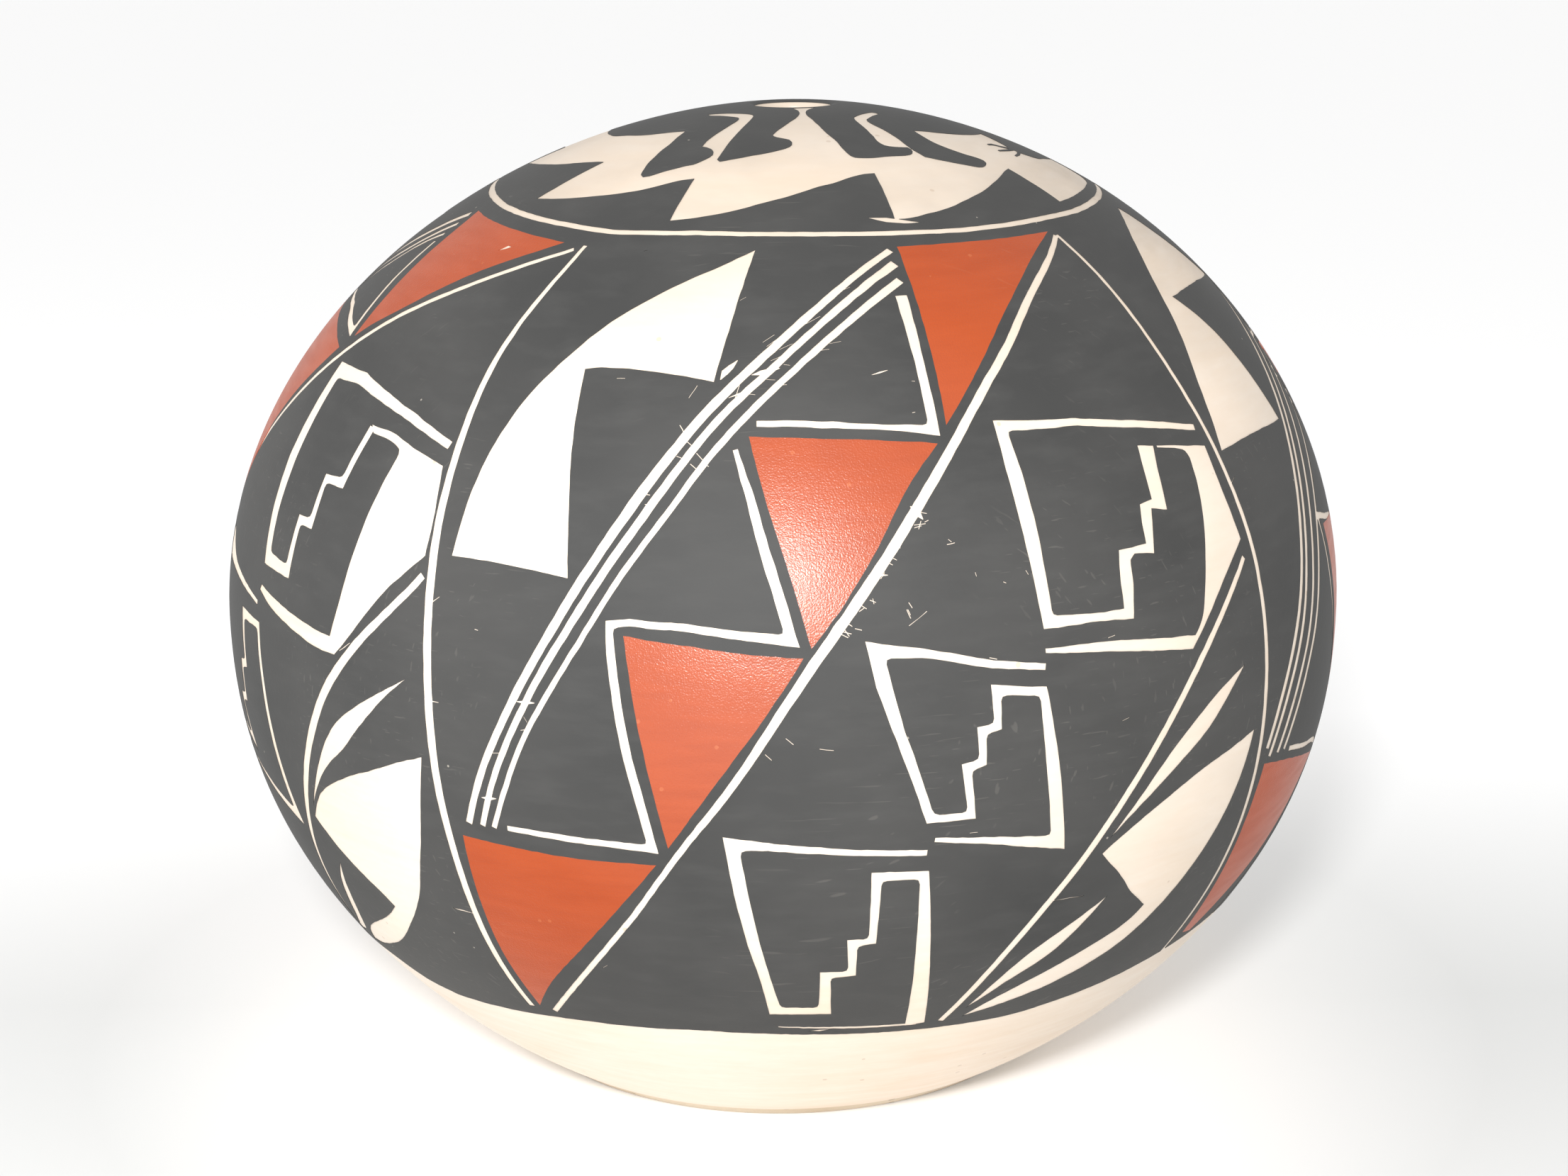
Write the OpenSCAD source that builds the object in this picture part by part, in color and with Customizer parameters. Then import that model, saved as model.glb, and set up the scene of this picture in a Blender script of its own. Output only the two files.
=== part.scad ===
// Coil-built seed jar with a small mouth, cream slip and painted panels.
// Origin: centre of the flat foot. +Z points up through the mouth, and -Y is the front.

/* [Body] */
// Greatest width of the jar
body_d = 230; // [200:1:260]
// Height of the crown above the foot
body_h = 196; // [180:1:215]
// Height of the widest ring above the foot
belly_z = 95; // [85:1:105]
// Width of the flat foot
foot_d = 112; // [95:1:125]
// Thickness of the clay wall
wall_t = 5.5; // [4:0.5:8]
// Thickness of the clay floor
floor_t = 7; // [5:0.5:10]
// How the shoulder drops below the crown: 2 is round, more is flatter
crown_flat = 1.97; // [1.8:0.01:2.2]
// How full the shoulder is: 2 is round, more is fuller
shoulder_full = 1.93; // [1.8:0.01:2.2]
// How long the wall stays upright below the belly: 2 is round, more is longer
belly_drop = 2.2; // [2:0.05:2.5]
// How straight the wall runs in to the foot: 2 is round, less is straighter
foot_taper = 1.44; // [1.3:0.02:1.8]

/* [Coils] */
// Height of the base bowl, which is pressed into a mould before the coils
base_h = 32; // [26:1:40]
// Number of clay coils in the wall
coil_n = 10; // [8:1:12]
// How far round the profile a coil laps under the one above, in degrees
coil_lap = 1.5; // [0.5:0.5:3]
// Width of the last coil, from the wall of the mouth to its outer edge
mouth_coil_w = 15; // [12:1:20]

/* [Mouth] */
// Width of the round mouth
mouth_d = 15; // [12:1:30]
// Length of the straight wall in the mouth
mouth_l = 3; // [2:0.5:3.5]
// Rounding of the lip outside
lip_r = 1.5; // [1:0.25:2]

/* [Slip and paint] */
// Thickness of the cream slip
slip_t = 0.4; // [0.2:0.1:0.8]
// Thickness of the paint on the slip
paint_t = 0.2; // [0.1:0.1:0.4]
// Height of the bare clay left round the foot under the slip
slip_low_z = 3; // [2:0.5:6]
// Height of the lower edge of the black band
band_low_z = 35; // [30:1:42]
// Drop from the crown to the upper edge of the black band
crown_drop = 18; // [16:1:24]
// Width of the cream ring line round the crown, measured in height
ring_line_h = 1; // [0.5:0.5:2]
// Number of black fins that point in over the crown
fin_n = 9; // [6:1:12]
// Width of the plain black strip between the ring line and the fins
fin_strip_w = 2; // [1:0.5:4]
// How far the fins reach in over the crown from that strip
fin_reach = 14; // [8:1:20]

/* [Hidden] */
$fn = 96;
// Directions that the four hand-spaced panels face, in degrees from the front
PANEL_TURNS = [0, 84, 180, 277];
// Corners of a panel's stepped red triangles: degrees from the panel's middle, and height as
// a percentage of the band's
RED_STEPS = [
  [[17, 98], [44, 98], [17.5, 80]],
  [[-3.5, 79], [15.5, 77.5], [2.5, 56]],
  [[-14, 56.5], [1.5, 54.5], [-10, 31]],
  [[-29, 29], [-11, 28], [-27, 3]]
];
// Outline of a panel's bare notched leaf, the same way
LEAF = [[-6, 98], [-17, 92], [-26, 84], [-31, 72], [-32, 64], [-20.5, 63], [-22, 75],
  [-23.5, 85], [-17, 86], [-8, 84.5]];

clay_colour = "#cdb594";
slip_colour = "#efe3cf";
black_colour = "#33312f";
red_colour = "#b4532c";

belly_r = body_d / 2;
crown_h = body_h - belly_z;
// Depth below the belly at which the lower curve would close, so that it passes the foot's edge
keel_h = belly_z / pow(1 - pow(foot_d / body_d, foot_taper), 1 / belly_drop);
clay_in = slip_t + paint_t;
inner_in = clay_in + wall_t;
// Angle between neighbouring points of the profile, and the small step that finds its slope
turn_step = 2.5;
slope_step = 0.05;
// Share of a step within which two points of the profile count as one
same = 0.001;
// Length that cutting shapes run past what they cut
past = 1;

function coil_name(i) = str("wall_coil_", i);

// The outside as seen from the belly: turn 0 is the belly, 90 the crown, below 0 the foot
function above(turn) = [belly_r * pow(cos(turn), 2 / shoulder_full),
  belly_z + crown_h * pow(sin(turn), 2 / crown_flat)];
function below(turn) = [belly_r * pow(cos(turn), 2 / foot_taper),
  belly_z - keel_h * pow(sin(-turn), 2 / belly_drop)];
function outside(turn) = turn > 0 ? above(turn) : below(turn);
// A point that lies some depth under the outside, square to it
function exact(turn, depth) =
  let (t = min(turn, 90 - slope_step))
  let (a = outside(t - slope_step), b = outside(t + slope_step))
  let (along = (b - a) / norm(b - a))
  outside(t) - depth * [along[1], -along[0]];
// The same on straight runs between the profile's points, so that neighbours meet exactly
function at(turn, depth) =
  let (k = floor(turn / turn_step), part = turn / turn_step - k)
  (1 - part) * exact(k * turn_step, depth) + part * exact((k + 1) * turn_step, depth);
function run(from, to, depth) = concat([at(from, depth)],
  [for (k = [ceil(from / turn_step + same) : floor(to / turn_step - same)]) at(k * turn_step, depth)],
  [at(to, depth)]);
function reversed(list) = [for (i = [len(list) - 1 : -1 : 0]) list[i]];
// Turn at which the surface at a depth reaches a height or comes in to a radius
function turn_at_height(z, depth) =
  lookup(z, [for (k = [-30 : 34]) [at(k * turn_step, depth)[1], k * turn_step]]);
function turn_at_radius(r, depth) =
  lookup(r, [for (k = [35 : -1 : 4]) [at(k * turn_step, depth)[0], k * turn_step]]);

slip_low_turn = turn_at_height(slip_low_z, clay_in);
base_turn = turn_at_height(base_h, clay_in);
mouth_r = mouth_d / 2;
lip_turn = turn_at_radius(mouth_r + lip_r, clay_in);
mouth_coil_turn = turn_at_radius(mouth_r + mouth_coil_w, clay_in);
coil_turn = (mouth_coil_turn - base_turn) / coil_n;
lip_z = at(lip_turn, clay_in)[1];
band_top_z = body_h - crown_drop;
band_h = band_top_z - band_low_z;
ring_turn = turn_at_height(band_top_z + ring_line_h, 0);
fin_base_r = at(ring_turn, 0)[0] - fin_strip_w;
fin_tip_r = fin_base_r - fin_reach;
mouth_low_z = lip_z - lip_r - mouth_l;

// A ring of wall: its ends slope, so that each ring laps over the one below
module wall_ring(from, to) {
  rotate_extrude()
    polygon(concat(run(from, to, clay_in),
      reversed(run(from - coil_lap, to - coil_lap, inner_in))));
}

// A thin coat over part of the outside
module coat(from, to, outer, inner) {
  rotate_extrude()
    polygon(concat(run(from, to, outer), reversed(run(from, to, inner))));
}

// A prism through the painted surface, from corners given as degrees and shares of the band
module window(corners) {
  mid = (min([for (c = corners) c[0]]) + max([for (c = corners) c[0]])) / 2;
  outline = [for (c = corners)
    let (z = band_low_z + band_h * c[1] / 100)
    [at(turn_at_height(z, 0), 0)[0] * sin(c[0] - mid), z]];
  rotate([0, 0, mid])
    rotate([90, 0, 0])
      linear_extrude(body_d)
        polygon(outline);
}

module panel_windows(shapes) {
  for (turn = PANEL_TURNS)
    for (shape = shapes)
      rotate([0, 0, turn])
        window(shape);
}

module base_bowl() {
  floor_turn = turn_at_height(floor_t, inner_in);
  color(clay_colour)
    rotate_extrude()
      polygon(concat([[0, 0], [foot_d / 2, 0]], run(slip_low_turn, base_turn, clay_in),
        reversed(run(floor_turn, base_turn - coil_lap, inner_in)), [[0, at(floor_turn, inner_in)[1]]]));
}

module wall_coil(i) {
  color(clay_colour)
    wall_ring(base_turn + (i - 1) * coil_turn, base_turn + i * coil_turn);
}

// The last coil closes the crown down to the mouth, and its lip is rounded
module mouth_coil() {
  inner_end = turn_at_radius(mouth_r + lip_r, inner_in);
  lip = [for (a = [75 : -15 : 0])
    [mouth_r + lip_r - lip_r * cos(a), lip_z - lip_r + lip_r * sin(a)]];
  color(clay_colour)
    rotate_extrude()
      polygon(concat(run(mouth_coil_turn, lip_turn, clay_in), lip, [[mouth_r, mouth_low_z]],
        reversed(run(mouth_coil_turn - coil_lap, inner_end, inner_in))));
}

module cream_slip() {
  color(slip_colour)
    coat(slip_low_turn, lip_turn, paint_t, clay_in);
}

module band_coat() {
  coat(turn_at_height(band_low_z, 0), turn_at_height(band_top_z, 0), 0, paint_t);
}

module black_band() {
  color(black_colour)
    difference() {
      band_coat();
      panel_windows(concat(RED_STEPS, [LEAF]));
    }
}

module red_steps() {
  color(red_colour)
    intersection() {
      band_coat();
      panel_windows(RED_STEPS);
    }
}

// The bare notch in front of a fin, in plan: what is left is a hooked triangle that leans on
// round the crown
module fin_notch() {
  fin_turn = 360 / fin_n;
  outline = concat([[fin_base_r, 0], fin_tip_r * [cos(fin_turn), sin(fin_turn)]],
    [for (share = [1, 0.5, 0]) mouth_r * [cos(share * fin_turn), sin(share * fin_turn)]]);
  linear_extrude(body_h + past)
    polygon(outline);
}

module crown_fins() {
  color(black_colour)
    difference() {
      coat(ring_turn, turn_at_radius(fin_tip_r, 0), 0, paint_t);
      for (i = [0 : fin_n - 1])
        rotate([0, 0, i * 360 / fin_n])
          fin_notch();
    }
}

base_bowl();
for (i = [1 : coil_n])
  wall_coil(i);
mouth_coil();
cream_slip();
black_band();
red_steps();
crown_fins();
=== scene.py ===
"""A coil-built seed jar: red and black mineral paint on a stone-polished cream slip."""
import math

import bpy
import numpy as np
from mathutils import Matrix, Vector, geometry, kdtree, noise


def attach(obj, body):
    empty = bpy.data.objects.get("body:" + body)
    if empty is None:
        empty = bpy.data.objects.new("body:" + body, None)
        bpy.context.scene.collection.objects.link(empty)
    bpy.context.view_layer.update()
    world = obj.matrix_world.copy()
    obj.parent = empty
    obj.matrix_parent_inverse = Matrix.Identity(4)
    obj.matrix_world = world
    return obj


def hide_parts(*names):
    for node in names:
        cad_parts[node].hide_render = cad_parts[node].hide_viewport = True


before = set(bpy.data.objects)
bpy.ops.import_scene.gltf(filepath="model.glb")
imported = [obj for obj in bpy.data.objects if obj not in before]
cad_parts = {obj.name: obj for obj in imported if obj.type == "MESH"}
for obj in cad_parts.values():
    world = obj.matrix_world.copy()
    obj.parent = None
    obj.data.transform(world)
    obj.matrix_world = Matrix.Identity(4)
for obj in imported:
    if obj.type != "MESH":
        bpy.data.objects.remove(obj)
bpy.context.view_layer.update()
bpy.ops.object.select_all(action="DESELECT")

MM = 0.001

# Camera
CAMERA_DISTANCE = 576 * MM
CAMERA_RISE = math.radians(15.566)
CAMERA_ROLL = math.radians(-0.53)
CAMERA_LENS = 62.5
LOOK_AT_Z = 93.3 * MM
LOOK_RIGHT = 0.24 * MM
LOOK_UP = 0.675 * MM

# The jar's sizes in millimetres
BODY_D = 230
BODY_H = 196
BELLY_Z = 95
FOOT_D = 112
WALL = 5.5
FLOOR = 7
CROWN_FLAT = 1.97
SHOULDER_FULL = 1.93
BELLY_DROP = 2.2
FOOT_TAPER = 1.44
BASE_H = 32
COIL_N = 10
COIL_LAP = 1.5
MOUTH_COIL_W = 15
MOUTH_R = 7.5
MOUTH_L = 3
LIP_R = 1.5
SLIP = 0.4
PAINT = 0.2
SLIP_LOW_Z = 3
# How far the crown leans to the right: the wall is straight up at LEAN_FROM_Z
CROWN_LEAN = 2.93
LEAN_FROM_Z = 75

# How finely the pieces are cut
SPIN_STEPS = 192
TURN_STEP = 1.5
BRUSH_STEP = 1.0
FIELD_STEP = 3.2
# Spots of the field stay this far from brush edges, and end this far up the wall
FIELD_GAP = 1.1
FIELD_FROM_UP = 48
# The waver of the brush: how far it strays, over what lengths, and the seed that makes it the
# same in every run
WAVER = 0.12
SLOW_WAVER = 14
QUICK_WAVER = 2.5
WAVER_SEED = 5
# Edges that meet more sharply than this stay crisp
CRISP = math.radians(40)

# Depths under the solids' outside: a real coat of paint is thinner than theirs
PAINT_TOP_IN = 0.22
SLIP_TOP_IN = 0.34
CLAY_IN = SLIP + PAINT
INNER_IN = CLAY_IN + WALL
KEEL_H = BELLY_Z / (1 - (FOOT_D / BODY_D) ** FOOT_TAPER) ** (1 / BELLY_DROP)


def place_camera():
    """Stands the camera in front of the jar, a little above it."""
    spot = Vector((0, -CAMERA_DISTANCE * math.cos(CAMERA_RISE),
                   LOOK_AT_Z + CAMERA_DISTANCE * math.sin(CAMERA_RISE)))
    middle = Vector((0, 0, LOOK_AT_Z))
    ahead = (middle - spot).normalized()
    right = ahead.cross(Vector((0, 0, 1))).normalized()
    up = right.cross(ahead)
    ahead = (middle + right * LOOK_RIGHT + up * LOOK_UP - spot).normalized()
    right = ahead.cross(Vector((0, 0, 1))).normalized()
    up = right.cross(ahead)
    c, s = math.cos(CAMERA_ROLL), math.sin(CAMERA_ROLL)
    right, up = right * c + up * s, up * c - right * s
    data = bpy.data.cameras.new("camera")
    data.lens = CAMERA_LENS
    data.sensor_width = 36
    data.clip_start = 0.01
    data.clip_end = 50
    camera = bpy.data.objects.new("camera", data)
    bpy.context.scene.collection.objects.link(camera)
    turned = Matrix((right, up, -ahead)).transposed().to_4x4()
    camera.matrix_world = Matrix.Translation(spot) @ turned
    bpy.context.scene.camera = camera


place_camera()


# The jar's outside, as a curve from the foot's edge up to the crown
def outside(turn):
    """(radius, height) of the outside in millimetres: turn 0 is the belly, 90 the crown."""
    t = np.radians(np.asarray(turn, float))
    c, s = np.abs(np.cos(t)), np.abs(np.sin(t))
    up_r = BODY_D / 2 * c ** (2 / SHOULDER_FULL)
    up_z = BELLY_Z + (BODY_H - BELLY_Z) * s ** (2 / CROWN_FLAT)
    low_r = BODY_D / 2 * c ** (2 / FOOT_TAPER)
    low_z = BELLY_Z - KEEL_H * s ** (2 / BELLY_DROP)
    over = t > 0
    return np.where(over, up_r, low_r), np.where(over, up_z, low_z)


FOOT_TURN = -math.degrees(math.acos((FOOT_D / BODY_D) ** (FOOT_TAPER / 2)))
TURNS = np.linspace(FOOT_TURN, 90, 1201)
WALL_R, WALL_Z = outside(TURNS)
WALL_S = np.concatenate([[0], np.cumsum(np.hypot(np.diff(WALL_R), np.diff(WALL_Z)))])
WALL_TOP = WALL_S[-1]
SLOPE_R = np.gradient(WALL_R, WALL_S)
SLOPE_Z = np.gradient(WALL_Z, WALL_S)
FACE = np.hypot(SLOPE_R, SLOPE_Z)
FACE_R, FACE_Z = SLOPE_Z / FACE, -SLOPE_R / FACE


def section(turn, depth):
    """(radius, height) under the outside at a turn, square to it."""
    r, z = np.interp(turn, TURNS, WALL_R), np.interp(turn, TURNS, WALL_Z)
    fr, fz = np.interp(turn, TURNS, FACE_R), np.interp(turn, TURNS, FACE_Z)
    return np.maximum(r - depth * fr, 0), z - depth * fz


def lean(z):
    """How far the hand-built wall leans to the right at a height, in millimetres."""
    return CROWN_LEAN * ((z - LEAN_FROM_Z) / (BODY_H - LEAN_FROM_Z)) ** 3


def on_wall(round_deg, up, depth=0.0):
    """Points in metres on the wall, from degrees round it and millimetres up it."""
    r, z = np.interp(up, WALL_S, WALL_R), np.interp(up, WALL_S, WALL_Z)
    fr, fz = np.interp(up, WALL_S, FACE_R), np.interp(up, WALL_S, FACE_Z)
    r, z = np.maximum(r - depth * fr, 0), z - depth * fz
    a = np.radians(round_deg)
    return np.column_stack([r * np.sin(a) + lean(z), -r * np.cos(a), z]) * MM


def turn_at_height(height, depth):
    turns = np.linspace(FOOT_TURN, 85, 4000)
    return float(np.interp(height, section(turns, depth)[1], turns))


def turn_at_radius(radius, depth):
    turns = np.linspace(89.5, 5, 4000)
    return float(np.interp(radius, section(turns, depth)[0], turns))


def run(low, high, depth):
    """Points of the section between two turns."""
    n = max(2, int(math.ceil((high - low) / TURN_STEP)) + 1)
    r, z = section(np.linspace(low, high, n), depth)
    return list(zip(r, z))


# Clay and slip, spun round the axis as on a turntable
def new_piece(name, mesh):
    """The mesh as an object in the scene, selected for the tools that work on it next."""
    piece = bpy.data.objects.new(name, mesh)
    bpy.context.scene.collection.objects.link(piece)
    bpy.context.view_layer.objects.active = piece
    piece.select_set(True)
    return piece


def spun(name, ring):
    """A closed ring spun round the jar's axis from the outline of its section."""
    mesh = bpy.data.meshes.new(name)
    corners = [(r * MM, 0, z * MM) for r, z in ring]
    mesh.from_pydata(corners, [(i, (i + 1) % len(ring)) for i in range(len(ring))], [])
    piece = new_piece(name, mesh)
    bpy.ops.object.mode_set(mode="EDIT")
    bpy.ops.mesh.select_all(action="SELECT")
    bpy.ops.mesh.spin(steps=SPIN_STEPS, angle=2 * math.pi, center=(0, 0, 0), axis=(0, 0, 1))
    bpy.ops.mesh.select_all(action="SELECT")
    bpy.ops.mesh.remove_doubles(threshold=0.002 * MM)
    bpy.ops.mesh.normals_make_consistent(inside=False)
    bpy.ops.object.mode_set(mode="OBJECT")
    bpy.ops.object.shade_smooth_by_angle(angle=CRISP)
    piece.select_set(False)
    for v in mesh.vertices:
        v.co.x += lean(v.co.z / MM) * MM
    return piece


def finish_piece(piece, material, slot, *nodes):
    piece.data.materials.clear()
    piece.data.materials.append(material)
    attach(piece, "root")
    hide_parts(*nodes)


# Brushwork: outlines in degrees round the wall and millimetres up it
def radius_at(up):
    return np.interp(up, WALL_S, WALL_R)


def led_on(points):
    """The points with one more at each end, on a straight line with the last two."""
    p = np.array(points, float)
    return np.vstack([2 * p[0] - p[1], p, 2 * p[-1] - p[-2]])


def curve(a, b, c, d, steps):
    """Spots on the smooth curve from b towards c, which a and d lead into."""
    n = max(1, int(round(steps)))
    return [0.5 * (2 * b + (c - a) * t + (2 * a - 5 * b + 4 * c - d) * t * t
                   + (3 * b - a - 3 * c + d) * t ** 3) for t in (k / n for k in range(n))]


def smooth(points, step, calm=0):
    """A smooth brush path through the points, with points about a step apart."""
    q = led_on(points)
    out = []
    for i in range(1, len(q) - 2):
        a, b, c, d = q[i - 1:i + 3]
        r = radius_at((b[1] + c[1]) / 2) * math.pi / 180
        out += curve(a, b, c, d, math.hypot((c[0] - b[0]) * r, c[1] - b[1]) / step)
    out.append(q[-2])
    out = np.array(out)
    for _ in range(calm):
        out[1:-1] = (out[:-2] + 2 * out[1:-1] + out[2:]) / 4
    return out


def joined(*runs):
    """Smooth runs that meet in sharp corners, as one outline."""
    out = []
    for one in runs:
        path = smooth(one, BRUSH_STEP, 12 if len(one) > 4 else 0)
        out.append(path if not out else path[1:])
    path = np.vstack(out)
    if np.allclose(path[0], path[-1]):
        path = path[:-1]
    return path


def evened(outline):
    """The same closed outline with points about a brush step apart."""
    p = np.asarray(outline, float)
    out = []
    for a, b in zip(p, np.roll(p, -1, axis=0)):
        step = np.array([(b[0] - a[0] + 180) % 360 - 180, b[1] - a[1]])
        r = max(radius_at((a[1] + b[1]) / 2), 1) * math.pi / 180
        n = max(1, int(round(math.hypot(step[0] * r, step[1]) / BRUSH_STEP)))
        for k in range(n):
            out.append(a + step * k / n)
    return np.array(out)


def stroke(path, widths):
    """The outline of a brush line along a path, mitred at its corners."""
    p = np.asarray(path, float)
    scale = np.radians(1) * radius_at(p[:, 1])
    steps = np.diff(p, axis=0)
    mid = (scale[:-1] + scale[1:]) / 2
    steps[:, 0] *= mid
    far = np.maximum(np.hypot(steps[:, 0], steps[:, 1]), 1e-6)
    steps /= far[:, None]
    side = np.column_stack([-steps[:, 1], steps[:, 0]])
    before = np.vstack([side[:1], side])
    after = np.vstack([side, side[-1:]])
    both = before + after
    both /= np.maximum(np.hypot(both[:, 0], both[:, 1]), 1e-6)[:, None]
    reach = 1 / np.maximum((both * before).sum(1), 0.45)
    along = np.concatenate([[0], np.cumsum(far)]) / far.sum()
    half = np.interp(along, np.linspace(0, 1, len(widths)), widths) / 2 * reach
    off = both * half[:, None]
    off[:, 0] /= scale
    return filled_corners(evened(np.vstack([p + off, (p - off)[::-1]])))


def filled_corners(outline):
    """Rounds the inner corners of a brush line, where the paint draws back."""
    p = outline.copy()
    scale = np.radians(1) * radius_at(p[:, 1])
    before, after = np.roll(p, 1, axis=0), np.roll(p, -1, axis=0)
    a, b = p - before, after - p
    bend = (a[:, 0] * b[:, 1] - a[:, 1] * b[:, 0]) * scale
    inner = bend * np.sign(area_of(p)) < -0.08
    p[inner] = ((before + 2 * p + after) / 4)[inner]
    return p


def area_of(p):
    """Twice the area of a closed outline, below zero where it runs clockwise."""
    q = np.roll(p, -1, axis=0)
    return (p[:, 0] * q[:, 1] - p[:, 1] * q[:, 0]).sum()


def brush(points, *widths):
    """A curved brush line: widths are spread evenly along it."""
    return stroke(smooth(points, 2 * BRUSH_STEP, 12 if len(points) > 6 else 0), widths)


def ruled(points, *widths):
    """A brush line of straight runs: one width for each point."""
    p = np.array(points, float)
    scale = np.radians(1) * radius_at(p[:, 1])
    far = np.hypot(np.diff(p[:, 0]) * (scale[:-1] + scale[1:]) / 2, np.diff(p[:, 1]))
    along = np.concatenate([[0], np.cumsum(far)]) / far.sum()
    return stroke(p, np.interp(np.linspace(0, 1, 400), along, widths))


# One panel: a diagonal with four hanging red steps on its left and three boxes on its right
LEAF = joined(
    [(-5.2, 215.3), (-11.5, 209.6), (-15.6, 205.7), (-21.5, 198.5), (-25.7, 189.9),
     (-29.3, 179.8), (-31.2, 169.6), (-32.1, 160.7), (-32.5, 149.1)],
    [(-32.4, 149.1), (-27.6, 149.1), (-23.8, 148.6), (-19.9, 147.7)],
    [(-19.9, 147.7), (-20.8, 158.3), (-22.1, 171.7), (-23.4, 186.3)],
    [(-23.4, 186.3), (-22.6, 186.9), (-17.4, 187), (-12.6, 186.2), (-8, 184.8)],
    [(-8, 184.8), (-7.4, 192.8), (-6.5, 202.8), (-5.2, 215.3)])
DIAGONAL = brush(
    [(47.2, 213.9), (44.4, 211.1), (39.7, 206.7), (33.8, 200.6), (30.3, 195.6), (26.8, 189.4),
     (23, 183.4), (19.4, 176.3), (15.3, 167), (12.3, 159.7), (8.9, 150.8), (4.9, 140.6),
     (0.1, 127.2), (-4.2, 113.6), (-9.5, 99.3), (-14.3, 85), (-20.2, 70), (-23.9, 61),
     (-26.8, 54.4)], 1.1, 1.5, 1.7, 1.9, 1.9, 1.5, 1.1, 1.1, 1.1)
FINE_LINES = [
    brush([(15.6, 214.4), (13.5, 212.7), (10.8, 210.1), (8.2, 207), (6, 204), (3.3, 200),
           (0, 195), (-2.8, 190), (-5.5, 185.1), (-7.9, 180), (-10.1, 174.9), (-11.7, 170),
           (-13.6, 164.7), (-15, 160), (-16.5, 154.7), (-17.9, 150), (-19.4, 144.7),
           (-20.6, 140), (-22, 134.7), (-23.3, 130), (-24.6, 124.7), (-25.8, 120),
           (-27.1, 114.7), (-28.1, 110), (-29.7, 100.8)], 1.4, 1.6, 1.8, 1.9, 1.7, 1.5, 1.4),
    brush([(15.7, 210.9), (11.4, 207), (9.1, 204), (6.1, 200), (2.6, 195), (-0.3, 190),
           (-3.1, 185.1), (-6, 180), (-8.2, 175), (-9.8, 170), (-11.8, 164.7), (-13.2, 160),
           (-14.9, 154.7), (-16.3, 150), (-17.9, 144.7), (-19.1, 140), (-20.7, 134.7),
           (-22, 130), (-23.3, 124.7), (-24.5, 120), (-25.7, 114.7), (-26.7, 110),
           (-28.2, 100.8)], 1.8, 1.4, 1.4, 1.6, 1.5, 1.3, 1.2),
    brush([(15.7, 206.6), (14.1, 205.1), (12, 203), (9.5, 200), (7.8, 197.7), (5.7, 195),
           (2.4, 190), (-0.5, 185.1), (-3.4, 180), (-5.7, 175), (-8, 169.5), (-9.5, 164.7),
           (-11.1, 160), (-13, 154.7), (-14.6, 150), (-16.1, 144.7), (-17.3, 140),
           (-18.9, 134.7), (-20.2, 130), (-21.8, 124.7), (-23.1, 120), (-24.3, 114.7),
           (-25.2, 110), (-27, 100.8)], 1.7, 1.4, 1.3, 1.2, 1.1, 1.1, 1.1)]
STEP_LINES = [
    ruled([(15.2, 202.9), (15.4, 186.2), (15.5, 174.5), (10.1, 175.6), (4.9, 176.4),
           (-0.2, 176.8), (-3, 176.7)], 2.2, 1.7, 1.9, 1.0, 1.3, 1.3, 1.2),
    ruled([(-5, 171.8), (-3.3, 163.2), (-1.8, 153.9), (-0.4, 145.5), (0.7, 138.3),
           (-3.7, 139.3), (-8.9, 140.5), (-13.7, 140.9), (-15.6, 140.4), (-15.3, 135.5),
           (-14.5, 126.2), (-13.6, 117), (-12.5, 107.8), (-11.7, 100.2), (-15.8, 100.5),
           (-20.9, 100.9), (-25.6, 101.2)],
          0.9, 1.5, 1.8, 1.9, 1.9, 1.5, 1.3, 1.3, 1.2, 1.6, 1.6, 1.7, 1.7, 1.6, 1.3, 1.3, 1.1)]
RED_STEPS = [
    joined([(16.9, 215.2), (46.2, 215.2)],
           [(46.2, 215.2), (38.5, 209.4), (30.3, 199.7), (25.6, 192.2), (21.5, 184.4),
            (16.9, 175.3)],
           [(16.9, 175.3), (17.1, 195), (16.9, 215.2)]),
    joined([(-3.7, 174.3), (4.9, 173.7), (10.1, 173), (15.6, 172)],
           [(15.6, 172), (11.8, 163.9), (8.4, 153.2), (4.9, 143.2), (2.4, 137)],
           [(2.4, 137), (0.3, 150.8), (-1.9, 163.2), (-3.7, 174.3)]),
    joined([(-14.2, 138.5), (-8.9, 137.4), (-3.7, 136.2), (1.7, 135.3)],
           [(1.7, 135.3), (-2, 124.3), (-5.4, 114.7), (-10.3, 100.5)],
           [(-10.3, 100.5), (-12.3, 119.3), (-14.2, 138.5)]),
    joined([(-30.6, 98), (-20.3, 97), (-11.5, 97)],
           [(-11.5, 97), (-15.6, 86.7), (-20.3, 75.6), (-25, 65), (-28.4, 55.6)],
           [(-28.4, 55.6), (-29.8, 71.7), (-30.3, 85), (-30.6, 98)])]
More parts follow.
